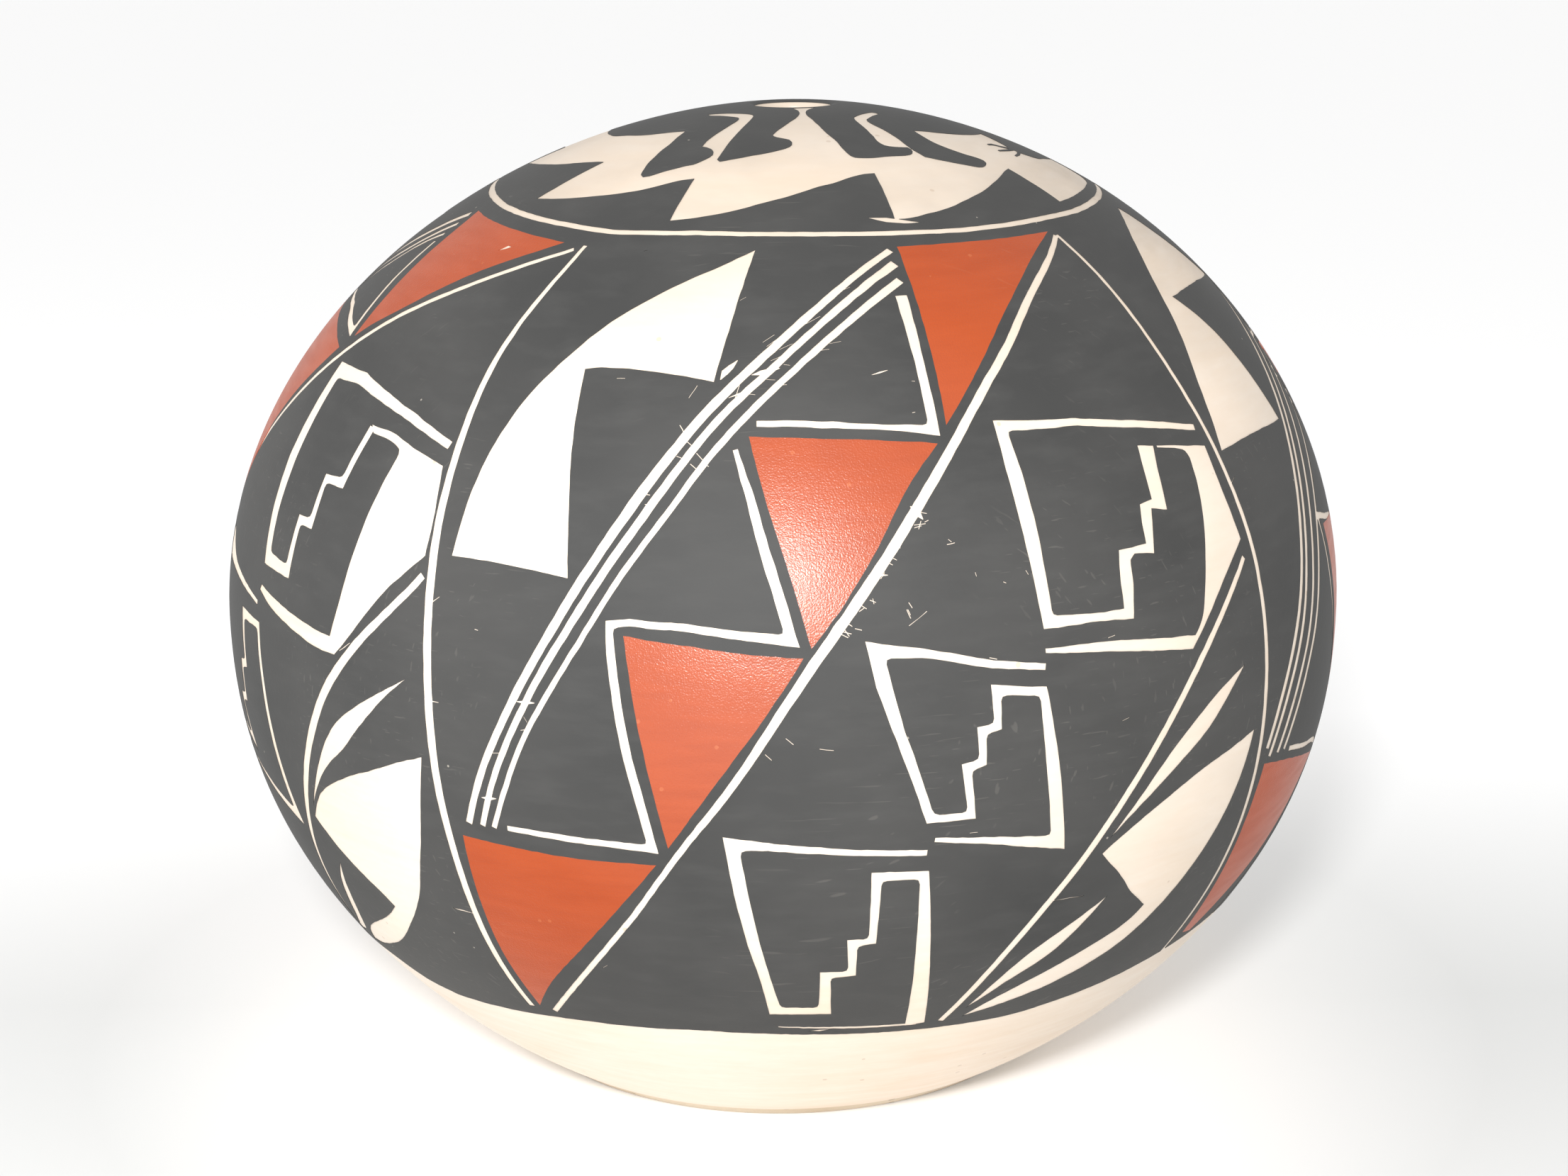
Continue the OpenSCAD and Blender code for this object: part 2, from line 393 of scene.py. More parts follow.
BOXES = [
    ruled([(48.4, 167.6), (39.7, 170.9), (31.5, 173.3), (22.8, 174.2), (23.1, 166),
           (23.6, 153), (24.1, 138.4), (30.5, 137.9)],
          1.2, 1.5, 1.5, 2.1, 2.9, 2.9, 2.2, 1.3),
    joined([(38.8, 166.9), (41, 166.2)], [(41, 166.2), (40.5, 162.2), (40, 154.2)],
           [(40, 154.2), (38, 155.1)], [(38, 155.1), (37.4, 150.8), (37, 147.1)],
           [(37, 147.1), (34.6, 147.8)], [(34.6, 147.8), (34, 146.9), (33.8, 142.5), (33.3, 136.5)],
           [(33.3, 136.5), (28.5, 137.3)], [(28.5, 137.3), (28.5, 138.6)],
           [(28.5, 138.6), (32.3, 138.6)], [(32.3, 138.6), (32.4, 144), (32.8, 148.9)],
           [(32.8, 148.9), (36.2, 149.1)], [(36.2, 149.1), (36.3, 153), (36.6, 156.2)],
           [(36.6, 156.2), (38.3, 156.6)], [(38.3, 156.6), (38.5, 162), (38.8, 166.9)]),
    joined([(41.4, 166.1), (44.1, 165.3), (48.8, 163.8)],
           [(48.8, 163.8), (49, 154.9), (49.7, 145.3)],
           [(49.7, 145.3), (46.9, 141.2), (44, 136), (40.2, 128.6)],
           [(40.2, 128.6), (30.3, 131.5), (23.6, 133.2)], [(23.6, 133.2), (23.6, 134)],
           [(23.6, 134), (30.3, 133.4), (40.6, 131)],
           [(40.6, 131), (41.7, 132.6), (42.7, 138.6), (44.4, 149.1), (45.4, 157.2),
            (45.6, 162.4)],
           [(45.6, 162.4), (45.3, 163.8), (44.3, 164.6), (41.4, 165.7)]),
    ruled([(23.5, 130.8), (18.5, 132.4), (12.6, 135.2), (7.9, 136.4), (8.6, 130.3),
           (9.8, 122.4), (11.3, 113.9), (12.7, 105.4), (16.5, 105.3), (15.9, 114.5),
           (17.4, 115.1), (17.3, 120.9), (18.8, 121.3), (18.7, 127.8), (23.2, 126.6),
           (24.1, 113.9), (25.3, 97.4), (19.7, 99.5), (13.2, 101.3)],
          1.2, 1.4, 1.5, 2.6, 2.7, 2.0, 1.8, 1.6, 1.4, 1.7, 1.4, 1.7, 1.4, 1.8, 1.6, 2.6,
          2.8, 1.6, 0.9),
    ruled([(12.6, 98.9), (5.6, 99.9), (-1.5, 101.4), (-4.7, 101.9), (-4, 91.7), (-3, 80),
           (-1.9, 69.4), (-1.2, 61.7), (4, 61.4), (3.8, 72), (6.4, 72.2), (6.2, 80.1),
           (8.1, 80.3), (8.1, 94.7), (12.5, 94.3), (13, 80.6), (13.5, 69.4), (14.2, 54.3)],
          1.2, 1.3, 1.6, 2.5, 2.5, 2.2, 1.9, 2.4, 2.3, 1.9, 1.4, 1.9, 1.4, 1.9, 1.7, 2.6,
          3.1, 3.8),
    brush([(-0.9, 56.3), (6.8, 55.3), (14.4, 54.5)], 0.5, 0.9, 0.8)]
SWEEP_LINE = brush(
    [(49.5, 142), (45.5, 134.8), (40.7, 125.4), (36, 113.7), (31.3, 101), (28.6, 93.1),
     (24.3, 80.8), (20.2, 66.2), (17.2, 54.4)], 1.2, 1.6, 1.6, 1.6, 1.4)
BLADES = [
    joined([(31, 95.6), (33.6, 101.9), (36.8, 109.2), (40.4, 115.2), (44, 119.6),
            (47.7, 122.5)],
           [(47.7, 122.5), (45.2, 117.8), (42.1, 112.2), (37.4, 105.9), (33.8, 100.5),
            (31, 95.6)]),
    joined([(19.6, 57.8), (22, 64.9), (24.7, 71.6), (28.2, 76.8), (32.5, 82.6)],
           [(32.5, 82.6), (30.1, 76.2), (27.4, 70), (23.8, 65), (21.2, 60.3), (19.6, 57.8)]),
    joined([(30.5, 92.8), (33.2, 96.7), (37.4, 101.1), (42.1, 105), (46.2, 107), (49.9, 108.6)],
           [(49.9, 108.6), (48.9, 101.7), (47.3, 93.9), (45.3, 86.8), (42.9, 79.6),
            (40.1, 73), (37.4, 67.8), (33.2, 63.1), (29.1, 59.8), (24.4, 57), (19.6, 55)],
           [(19.6, 55), (22.6, 59.4), (26.8, 63.9), (31.5, 68.5), (36.2, 73),
            (37.7, 75.6), (38.2, 77.3)],
           [(38.2, 77.3), (35.6, 81.7), (33.2, 87.2), (30.5, 92.8)])]
LEFT_BORDER = brush(
    [(-33.4, 214.6), (-33.8, 208.3), (-34.7, 200.6), (-35.4, 195), (-35.9, 186), (-35.7, 177),
     (-35.3, 165), (-34.9, 153), (-34.3, 143), (-33.7, 130.6), (-33.2, 118), (-32.7, 105),
     (-31.9, 92), (-31.3, 76), (-30.6, 64), (-29.7, 54.4)], 1.0, 1.4, 1.9, 1.9, 1.6, 1.4)
RIGHT_BORDER = brush(
    [(47.5, 214), (48.3, 207), (48.6, 200), (48.9, 190), (49.3, 178.3), (50.3, 162.8), (50.9, 152),
     (51.4, 143), (51.5, 130), (51.6, 115), (51.5, 105), (51.1, 91.7), (50.1, 76), (48.9, 62),
     (48.5, 56)], 1.0, 1.2, 1.5, 1.4)
# The panel on the left, which was painted with wider boxes and blades
LEFT_RED = [
    joined([(-69.8, 218.3), (-37.9, 214.8)],
           [(-37.9, 214.8), (-50.3, 203.9), (-59.1, 192.8), (-63, 188.3), (-65.9, 184.1)],
           [(-65.9, 184.1), (-67.4, 200.6), (-68.5, 212.8), (-69.8, 218.3)]),
    joined([(-88, 186), (-76.2, 183.3), (-68, 180.6)],
           [(-68, 180.6), (-73.8, 167.2), (-78.5, 153.9), (-82.5, 142)],
           [(-82.5, 142), (-85.5, 160), (-88, 186)])]
LEFT_DIAGONAL = brush(
    [(-35, 213.3), (-40.7, 208.9), (-50.3, 200), (-56.2, 193.9), (-60.3, 188.9),
     (-65.3, 181), (-69.7, 172.8), (-73.8, 163.9), (-79, 152.8), (-84, 138.5), (-87.5, 121),
     (-92.5, 104), (-97.5, 87), (-103.5, 70), (-110.5, 54.4)], 1.1, 1.4, 1.5, 1.8, 1.8, 1.4, 1.2)
LEFT_FINE_LINES = [
    brush([(-71.5, 217), (-75, 214.4), (-79.1, 209.4), (-85, 202.2), (-89.5, 193), (-94.5, 181),
           (-99.5, 163), (-105.5, 140), (-111.5, 116), (-115.5, 101)], 1.8, 1.5, 1.5),
    brush([(-70.9, 213.9), (-75, 210), (-79.1, 204.4), (-85, 196.7), (-89.5, 186.5),
           (-94.5, 173), (-99.5, 154.5), (-105.5, 131), (-113.7, 101)], 1.4, 1.5, 1.3),
    brush([(-70.8, 210.6), (-74.4, 208.3), (-79.1, 201.1), (-85, 192.2), (-89.5, 180),
           (-94.5, 165), (-99.5, 146), (-105.5, 122.5), (-111.9, 101)], 1.1, 1.1, 1.2)]
LEFT_STEP_LINES = [
    ruled([(-70.9, 208.3), (-70.2, 197.2), (-67.9, 184.4), (-72.1, 185.8), (-77.4, 188),
           (-85, 189), (-88, 188.5)], 1.2, 1.4, 1.5, 1.4, 1.3, 1.2, 1.0),
    ruled([(-89.5, 183), (-87, 163.2), (-84.8, 146), (-84.3, 141), (-89.5, 141.5), (-99.2, 141.4),
           (-98, 121.6), (-95.9, 100.5), (-104, 101.4), (-110.5, 102)],
          0.9, 1.5, 1.8, 1.8, 1.3, 1.5, 1.8, 1.5, 1.3, 1.1)]
LEFT_BOXES = [
    ruled([(-36.6, 168.6), (-44.2, 172.8), (-50.3, 175.2), (-56.2, 177.2), (-63.1, 177),
           (-62.8, 158.3), (-62.1, 147.2), (-61.1, 138.7), (-55.9, 138.2), (-55.9, 148.4),
           (-53.5, 148.4), (-53.5, 157.4), (-50.3, 157.5), (-49.3, 169)],
          1.5, 1.8, 2.2, 2.5, 3.2, 4.0, 3.3, 2.8, 2.2, 1.7, 1.9, 1.5, 1.9, 1.9),
    joined([(-49.6, 169.4), (-45.4, 168.9), (-41.9, 167.2), (-36.5, 164.7)],
           [(-36.5, 164.7), (-35.7, 156.1), (-35.6, 148.3)],
           [(-35.6, 148.3), (-37.4, 145), (-40.4, 139.4), (-44.2, 130), (-45.9, 126.6)],
           [(-45.9, 126.6), (-48.5, 126.7), (-53.2, 128.1), (-59.1, 130.3), (-61.8, 132.2)],
           [(-61.8, 132.2), (-61.5, 133.3)],
           [(-61.5, 133.3), (-56.2, 131.7), (-50.6, 130.4), (-46.8, 129.7)],
           [(-46.8, 129.7), (-45.9, 137.2), (-45.1, 147.2), (-44.2, 157.2), (-43.3, 164.4)],
           [(-43.3, 164.4), (-43.5, 166.1), (-45.4, 167.4), (-48.7, 168)],
           [(-48.7, 168), (-49.6, 169.4)]),
    joined([(-62.1, 129), (-72.7, 130.9), (-79.1, 131), (-81, 131.5)],
           [(-81, 131.5), (-79.1, 137.2), (-72.7, 133.2), (-62.1, 129.9)],
           [(-62.1, 129.9), (-62.1, 129)]),
    ruled([(-80, 134), (-75.1, 108.3), (-73.6, 99), (-68.5, 97), (-70.1, 106.3), (-68.1, 106.8),
           (-68.1, 114.2), (-66.3, 115), (-66.8, 125.2), (-61.5, 125.2), (-60.5, 113.9),
           (-59.4, 100.6), (-58.2, 87), (-66.2, 90.6), (-71.6, 92.4)],
          2.2, 2.4, 1.6, 2.4, 1.6, 1.6, 1.6, 1.6, 2.0, 1.5, 1.8, 2.0, 2.4, 1.8, 1.3)]
LEFT_SWEEP = brush(
    [(-35.4, 144.8), (-37.9, 138.9), (-41.3, 133.3), (-44.2, 126.7), (-48, 117.8),
     (-50.9, 107.2), (-53.2, 98.3), (-55, 90), (-56.8, 81.7), (-58.2, 71.7),
     (-59.4, 62), (-60.6, 54)], 1.5, 1.7, 2.0, 2.2, 1.9, 1.5, 1.2, 1.0)
LEFT_BLADES = [
    joined([(-52.9, 92.9), (-50.7, 100.5), (-47.2, 111), (-44, 116.6), (-39.9, 121.6),
            (-36.1, 125.9)],
           [(-36.1, 125.9), (-38.5, 122), (-42.3, 114.6), (-43.7, 111.8), (-45, 108.8),
            (-47.8, 104.6), (-50.7, 98.6), (-52.9, 92.9)]),
    joined([(-60.8, 56.6), (-57.4, 62.2), (-55.3, 68.8), (-53.5, 76.1), (-51.4, 80.8)],
           [(-51.4, 80.8), (-52.7, 75.6), (-53.8, 68.8), (-55.8, 62.2), (-58, 57.4), (-60.8, 56.6)]),
    joined([(-53.4, 90.2), (-50.6, 97), (-45.8, 102.6), (-40.8, 106.8), (-36.8, 110.2),
            (-34.4, 111.9)],
           [(-34.4, 111.9), (-35, 103.9), (-35.6, 97.2), (-36.8, 89.4), (-38.5, 80.6),
            (-41.9, 72.2), (-44.8, 66.7), (-47.4, 62.7), (-51.5, 58.8), (-55, 56.1),
            (-58, 55)],
           [(-58, 55), (-55.6, 60), (-52.1, 64.4), (-47.4, 69.4), (-44.8, 72.8),
            (-43.8, 74.8)],
           [(-43.8, 74.8), (-45.4, 77.8), (-50.3, 84.8), (-53.4, 90.2)])]
# The panel on the right, whose leaf hangs higher over four fine lines that bow out more
RIGHT_LEAF = joined(
    [(77.9, 215.6), (72.2, 212.8), (66.6, 208.5), (63, 204), (60.2, 199.4), (58.1, 194),
     (55.6, 185), (53.3, 176.7), (52.2, 169.4), (51.3, 161.9)],
    [(51.3, 161.9), (56.7, 162.6), (62.5, 162.6), (68.5, 162.2)],
    [(68.5, 162.2), (67.5, 169.6), (66.1, 178.6), (64.2, 186.8), (61.1, 193.5)],
    [(61.1, 193.5), (66, 194), (72.2, 193.8), (78.1, 193), (85.2, 191.8)],
    [(85.2, 191.8), (83.3, 197.5), (80.8, 205.5), (78.9, 212.6), (77.9, 215.6)])
RIGHT_FINE_LINES = [
    brush([(53.1, 103), (54.6, 110.5), (56.5, 118), (59.1, 127.3), (60.9, 134.1), (62.4, 140.5),
           (64.5, 147), (66.5, 153.2), (68.7, 158.6), (71.1, 163.9), (75.8, 174), (81.3, 183.6),
           (88, 195), (94, 206), (99.4, 214.2)], 1.6, 1.7, 1.7),
    brush([(53.9, 101), (55.6, 108.4), (57.5, 115.6), (60.1, 124.5), (61.9, 132.3), (63.7, 139.5),
           (65.8, 146.2), (68, 152.5), (70.3, 157.9), (73, 163.4), (78, 172.1), (83, 180),
           (88, 188.5), (94, 201), (99.4, 210.6)], 1.5, 1.6, 1.7),
    brush([(55.8, 100.6), (57.3, 106.8), (59.1, 113.2), (61.5, 121.2), (63.1, 127),
           (64.4, 133.2), (66.1, 139.5), (68, 145.5), (70.2, 150.9), (72.6, 156.2),
           (77.4, 165), (83, 174.5), (88, 184), (94, 197.5), (99.4, 207.2)], 1.5, 1.6, 1.7),
    brush([(57.4, 100.3), (59.9, 109.5), (62.6, 118.4), (64.5, 124.1), (65.7, 129.5),
           (67, 134.4), (68.6, 139.3), (70.3, 144), (72.4, 148.4), (74.7, 152.2),
           (78.6, 158.2), (83, 166.5), (88, 178.5), (94, 193), (99.4, 203.6)], 1.5, 1.6, 1.7)]
RIGHT_STEP_LINE = ruled(
    [(79, 171.8), (80.7, 163.2), (82.2, 153.9), (84, 144), (84.9, 134.7), (79.7, 136.6),
     (74, 139), (69.8, 141.3), (70.4, 137), (71.2, 129), (72.2, 121.5), (73.5, 112),
     (75.5, 100)], 0.9, 1.5, 1.8, 1.9, 1.9, 1.4, 1.3, 1.3, 1.3, 1.5, 1.5, 1.5, 1.5)
RIGHT_LOW_LINE = brush([(58.8, 99.6), (65, 96.7), (69.2, 95), (74.7, 90.6)], 1.1, 1.3)
RIGHT_LOW_RED = joined(
    [(53, 100), (62.6, 95.6), (71.5, 91)],
    [(71.5, 91), (69.1, 88.3), (65.6, 80.6), (61.5, 72.8), (56.8, 66.1), (52.9, 59.4)],
    [(52.9, 59.4), (50.7, 60.6)],
    [(50.7, 60.6), (51, 69.4), (51.5, 80.6), (52.2, 91.7), (53, 100)])
# Chips and scuffs that bare the slip: short strokes, and how wide each is
SCUFFS = [
    ([(-7.3, 185.2), (-6.9, 186.8), (-6.3, 188), (-5.6, 189.4)], 1.3),
    ([(-10.5, 181.5), (-9.8, 184.1)], 0.5), ([(-6.3, 202.6), (-5.5, 203.4)], 0.5),
    ([(2, 197), (3.5, 198.3)], 0.5), ([(3.5, 198.3), (4.2, 198.9)], 1.3),
    ([(-0.9, 191.7), (0.7, 192.9)], 0.8), ([(-2.9, 193.3), (-1.5, 194.9)], 0.5),
    ([(-2.4, 192.4), (-1.2, 193.9)], 0.5), ([(-3.9, 186.3), (-0.7, 187.9)], 1.1),
    ([(-2.2, 185.5), (-1.2, 185.4)], 0.9), ([(-0.3, 188.6), (0.4, 188.4)], 0.6),
    ([(-1.8, 189.3), (-0.3, 190.6)], 0.5), ([(-6.2, 181.7), (-4.3, 183.1)], 0.45),
    ([(-5.1, 184.2), (-5.5, 181.3)], 0.4), ([(-4.7, 182.6), (-3.3, 182.4)], 0.6),
    ([(5.1, 192.8), (6.5, 193.3)], 1.2), ([(4, 191.4), (5, 191.6)], 0.7),
    ([(7.5, 204.9), (8.5, 205.5)], 0.8), ([(9.6, 186), (11.5, 186.8)], 0.4),
    ([(13.4, 178), (13.8, 178.1)], 0.6), ([(14, 184.3), (14.4, 184.2)], 0.4),
    ([(-0.7, 184.3), (0.1, 184.4)], 0.5), ([(-11, 176.3), (-10.4, 174.6)], 0.25),
    ([(-10, 173.1), (-9.2, 172)], 0.25), ([(-8.9, 171), (-8.1, 169.6)], 0.25),
    ([(-10.9, 170.4), (-10, 169.8)], 0.25), ([(-9.4, 169), (-8.7, 168.1)], 0.25),
    ([(-7.8, 168.9), (-7.5, 168.6)], 0.5), ([(-13.7, 163.3), (-13, 163.2)], 0.25),
    ([(-13.4, 161.5), (-12.4, 161.4)], 0.25), ([(-19.2, 184.9), (-18.2, 185)], 0.7),
    ([(-24, 125.4), (-22.2, 125.6)], 0.8), ([(-23.6, 120.4), (-22.7, 120.7)], 1.1),
    ([(-23.3, 122.9), (-22.9, 121.9)], 0.6), ([(-26.8, 115.3), (-25.5, 115.6)], 0.9),
    ([(-28, 106.4), (-26.4, 106.7)], 0.9), ([(-28.7, 137), (-28.3, 136.9)], 0.6),
    ([(-33.9, 123), (-32.2, 122.8)], 0.25), ([(-34.6, 139.4), (-33, 141.6)], 0.25),
    ([(-34.2, 80.2), (-31.4, 80)], 0.4), ([(-18.4, 71.5), (-17.8, 72.4)], 0.4),
    ([(12, 160.9), (12.6, 159.8), (13.1, 158.4)], 1.5), ([(12.4, 160), (13.5, 159.4)], 0.4),
    ([(12.2, 157.5), (13.3, 157.6)], 0.35), ([(12.9, 158.2), (12.6, 156.7)], 0.35),
    ([(12.2, 157), (12.9, 157.3)], 0.5), ([(13.2, 157.9), (13.6, 158.2)], 0.25),
    ([(15.3, 154.6), (15.6, 154.1)], 0.3), ([(15.1, 153.7), (15.9, 153.9)], 0.25),
    ([(9.9, 154.1), (10.7, 153.7)], 0.35), ([(9.6, 152.4), (10.3, 151.6)], 0.45),
    ([(9.4, 151.4), (9.9, 150.8)], 0.35), ([(7.6, 149.2), (9.4, 149.1)], 0.5),
    ([(9.1, 149.6), (8.7, 148.5)], 0.3), ([(7.6, 145), (8.2, 144.6)], 0.45),
    ([(7.9, 145.3), (8, 144.3)], 0.3), ([(6.8, 144.2), (7.3, 143.5)], 0.4),
    ([(7.1, 143.7), (6.6, 143.1)], 0.3), ([(11.1, 144.2), (11.4, 143.2)], 0.3),
    ([(11, 143), (11.2, 142)], 0.3), ([(5.6, 141.2), (6, 140.6)], 0.45),
    ([(5.2, 139.7), (5.9, 139.3)], 0.4), ([(5.3, 140.1), (5.7, 138.9)], 0.3),
    ([(22.5, 147.9), (22.7, 147.1)], 0.4), ([(17.5, 148.5), (17.6, 147.8)], 0.25),
    ([(20.1, 146.4), (20.4, 146.1)], 0.3), ([(11, 140.2), (12.7, 142.5)], 0.12),
    ([(5, 139.3), (5.6, 138.7)], 0.5), ([(6.2, 140.2), (6.8, 139.9)], 0.3),
    ([(10.9, 143), (11.2, 141.4)], 0.25), ([(0.1, 121.5), (0.8, 120.4)], 0.25),
    ([(-1.7, 118.7), (-1.1, 117.7)], 0.4), ([(3, 119.5), (4.2, 119.2)], 0.25),
    ([(26, 84.4), (29.4, 84)], 0.25), ([(13.9, 223.8), (17, 223), (20, 222.2), (22.8, 221.7)], 1.5),
    ([(-49.8, 210.4), (-48.6, 211.6), (-47.8, 211.8)], 1.2), ([(-46.8, 111.4), (-44.8, 112.6)], 0.9),
    ([(-45.2, 127.6), (-43.6, 129.8)], 0.25), ([(31.4, 118.6), (32.2, 119)], 0.35),
    ([(18.2, 133.6), (18.9, 133.2)], 0.6), ([(30.2, 134), (31, 134.2)], 0.8),
    ([(16.4, 101.9), (17.2, 101.8)], 0.7), ([(2.4, 54.6), (4.8, 54.9)], 0.8),
    ([(-22.7, 214.1), (-22.2, 214.4)], 0.4), ([(50.7, 155.4), (51.9, 156.4)], 0.6)]
# The next panel is this far round. Past EVEN_TO the panels are spread wider, so that four of
# them go round the jar
PANEL_TURN = 84
EVEN_TO = 80
SPREAD = (180 - EVEN_TO) / (2 * PANEL_TURN - EVEN_TO)
# From the third fine line to a fourth
FOURTH_LINE_OFF = (2.2, -3.6)
# Lower edge of the black, and the ring line under the crown
LOW_EDGE = [(-180, 52.5), (-140, 53.6), (-100, 52.2), (-75, 53.6), (-55, 52.6), (-49, 49.2),
            (-43, 48.6), (-35, 50.3), (-25, 52.6), (-9, 54.4), (1, 53.6), (13, 52.4),
            (26, 51.7), (37, 54), (46, 56.4), (52, 57.8), (58, 59), (66, 58.5), (80, 54.5),
            (110, 52.8), (145, 53.4), (180, 52.5)]
RING_LINE = [(-180, 221), (-130, 222.6), (-90, 224.2), (-83, 223.7), (-75, 222.9), (-60, 221.3),
             (-45, 219.9), (-30, 218.8), (-15, 219.8), (0, 219.8),
             (30, 218.6), (60, 219.1), (85, 220.4), (130, 220.8), (180, 221)]
RING_LINE_W = 1.4
# Corners of the nine fins, and one fin's edge from its corner: share of the way to the next
# corner, and how far in along the crown from the plain strip
FIN_CORNERS = [-180, -138, -97, -56.9, -21.8, 18.4, 58.2, 98, 139]
FIN_STRIP_UP = 223.2
FIN_EDGE = [(0, 0), (0.13, 0.8), (0.29, 2.8), (0.46, 5.6), (0.61, 9.3), (0.8, 12.9),
            (0.97, 15.3)]
FIN_TIP_IN = 15.4
# The edges of the fins in sight, which were painted higher or lower than the rest
FIN_EDGES_IN_SIGHT = {
    -97: [(-97, 227.5), (-93.5, 230.8), (-90, 232.1), (-85, 233.1), (-80, 234.1), (-75, 235.1),
          (-70, 236.2), (-65, 237.6), (-60, 239), (-55.5, 240.1), (-53.8, 240.3)],
    -56.9: [(-56.2, 225.5), (-50, 226.6), (-45, 227.8), (-40, 229.2), (-35, 230.9), (-32.5, 231.9),
            (-30, 233.3), (-27.5, 234.8), (-25, 236.2), (-22.2, 237.1)],
    -21.8: [(-21.2, 223), (-17.5, 223.9), (-14, 225.1), (-10, 226.8), (-5, 229.3), (0, 231.5),
            (5, 234.1), (10, 236), (13.5, 237.6), (17, 238.6), (19.6, 238.7)],
    18.4: [(18.6, 223), (21.6, 223.1), (25.8, 224.2), (30, 225.2), (35, 227.1), (40, 228.9),
           (45, 230.8), (50, 232.7), (54.5, 234.3), (57.8, 235)],
    58.2: [(58.2, 222.4), (62.6, 222.5), (70, 222.9), (75, 223.1), (80, 223.3), (85, 223.3),
           (90, 224.5), (95, 228), (97, 232)]}


def crown_spot(x, y):
    """Degrees round and millimetres up the wall of a spot on the crown, seen from above."""
    far = np.hypot(x, y)
    top = TURNS > 20
    up = np.interp(far, WALL_R[top][::-1], WALL_S[top][::-1])
    return np.degrees(np.arctan2(x, -y)), up


# The figure's left side, in degrees round the crown and millimetres up the wall
FIGURE_LEFT = [
    [(-102.2, 248.1), (-90, 248.6), (-80, 249.2), (-75, 249.8), (-70, 251), (-65, 251.9),
     (-60, 253.1), (-55, 254.7), (-50, 256.2), (-46, 257.1)],
    [(-46, 257.1), (-44.8, 255.6), (-43.3, 253), (-41.4, 249.9), (-40.4, 246.5), (-39, 242.5),
     (-37.7, 239.5), (-36.5, 237.3), (-35.3, 236.6), (-34, 237.1), (-32.5, 238.3), (-30, 240.1),
     (-27.5, 241.7), (-25.7, 242.5), (-24.4, 243.8), (-23, 245.7), (-22.8, 246.9), (-23.4, 248),
     (-24.9, 249.3), (-26.9, 250), (-29, 250.3)],
    [(-29, 250.3), (-29.9, 253.1), (-30.3, 256.8), (-30.3, 260.1), (-30.4, 262.7),
     (-31, 265.2), (-33.3, 267.1), (-40.8, 267.7), (-50, 267.5), (-57, 266.9), (-63, 267.4)],
    [(-63, 267.4), (-57, 268.8), (-47.5, 270.1), (-35.8, 270.5), (-29.8, 270.1), (-26.3, 268.8),
     (-24.8, 267), (-23.4, 264.4), (-22.6, 260.9), (-21.8, 256.8), (-21.3, 253.1),
     (-20.9, 250.2), (-20.4, 246.5), (-20.3, 245)],
    [(-20.3, 245), (-19.1, 244.2), (-15.4, 245.5), (-12.4, 246.6), (-7.6, 247.8)]]
# Its middle, in millimetres as seen from above
FIGURE_MIDDLE = [
    [(-4.6, -37.2), (-1.2, -35.6), (0, -33.9), (-0.6, -31.5), (-3.6, -29.5), (-3.2, -27),
     (-0.1, -19.9), (1.1, -16.3), (1.1, -12.6), (-0.2, -10.1)],
    [(-0.2, -10.1), (2.2, -8.2), (4.8, -7.7)],
    [(4.8, -7.7), (2.8, -11.7), (2.6, -15.4), (4.3, -20.5)]]
# Its right side and back, given as the left side is
FIGURE_RIGHT = [
    [(11.6, 264.7), (12.6, 260.8), (13.4, 257.3), (14.7, 253.7), (15.3, 250.1), (16, 247.3),
     (17.3, 245.5), (21, 245), (25.5, 245.1), (32.3, 245), (35, 245.5), (36.6, 247.3),
     (36.3, 248.3)],
    [(36.3, 248.3), (32.3, 248.9), (29.5, 250), (28.9, 251.9), (29.7, 254.4), (31, 258),
     (32.1, 260.8), (33.4, 263.3), (35, 265.1), (38.1, 266.7), (41.8, 267.4), (46.8, 267.9),
     (51.8, 268.3), (60.9, 268.3), (62, 267.6)],
    [(62, 267.6), (60.9, 266.7), (51.8, 266), (46.8, 265.4), (41.8, 264.4), (40, 263.3),
     (38.8, 260.8), (38.8, 258), (38, 253), (37.3, 249.7), (37.1, 246.9), (37.6, 243.7)],
    [(37.6, 243.7), (41.3, 241.6), (45, 239.5), (49.2, 237.4), (51.7, 237.4), (53.7, 238.3),
     (54.2, 239.3), (53.4, 240.8), (51.3, 243), (49.5, 245.8), (48.5, 248.7), (49, 251.7),
     (50, 254), (50.8, 255.5)],
    [(50.8, 255.5), (56.6, 254.1), (60.4, 252.6), (65.3, 251), (70, 249.8), (75, 248.7),
     (80, 247.8), (84, 247.3)],
    [(84, 247.3), (80.5, 243.7), (77.4, 240.5)],
    [(77.4, 240.5), (77.3, 238.1), (80.5, 234.7), (85, 233.5), (90, 232.1), (95, 230.9),
     (100, 231.1), (103, 234.2), (103, 240.7), (112, 246.7), (118, 248.7)],
    [(118, 248.7), (138, 256.7), (168, 260.7), (-148, 258.7), (-118, 248.7), (-102.2, 248.1)]]
WHISKERS = [[(77.6, 240), (74.8, 241.6), (72.4, 243.6), (70, 244)],
            [(77.6, 239.8), (73, 240.4), (68.4, 241.2)],
            [(77.6, 238.4), (74, 238), (71, 238)]]


def moved(outline, turn, lift=0.0):
    """A copy of a panel's outline on another panel, its lower end lifted if asked."""
    out = np.array(outline, float)
    out[:, 1] += lift * np.clip((215 - out[:, 1]) / 66, 0, 1.2)
    out[:, 0] += turn
    return out


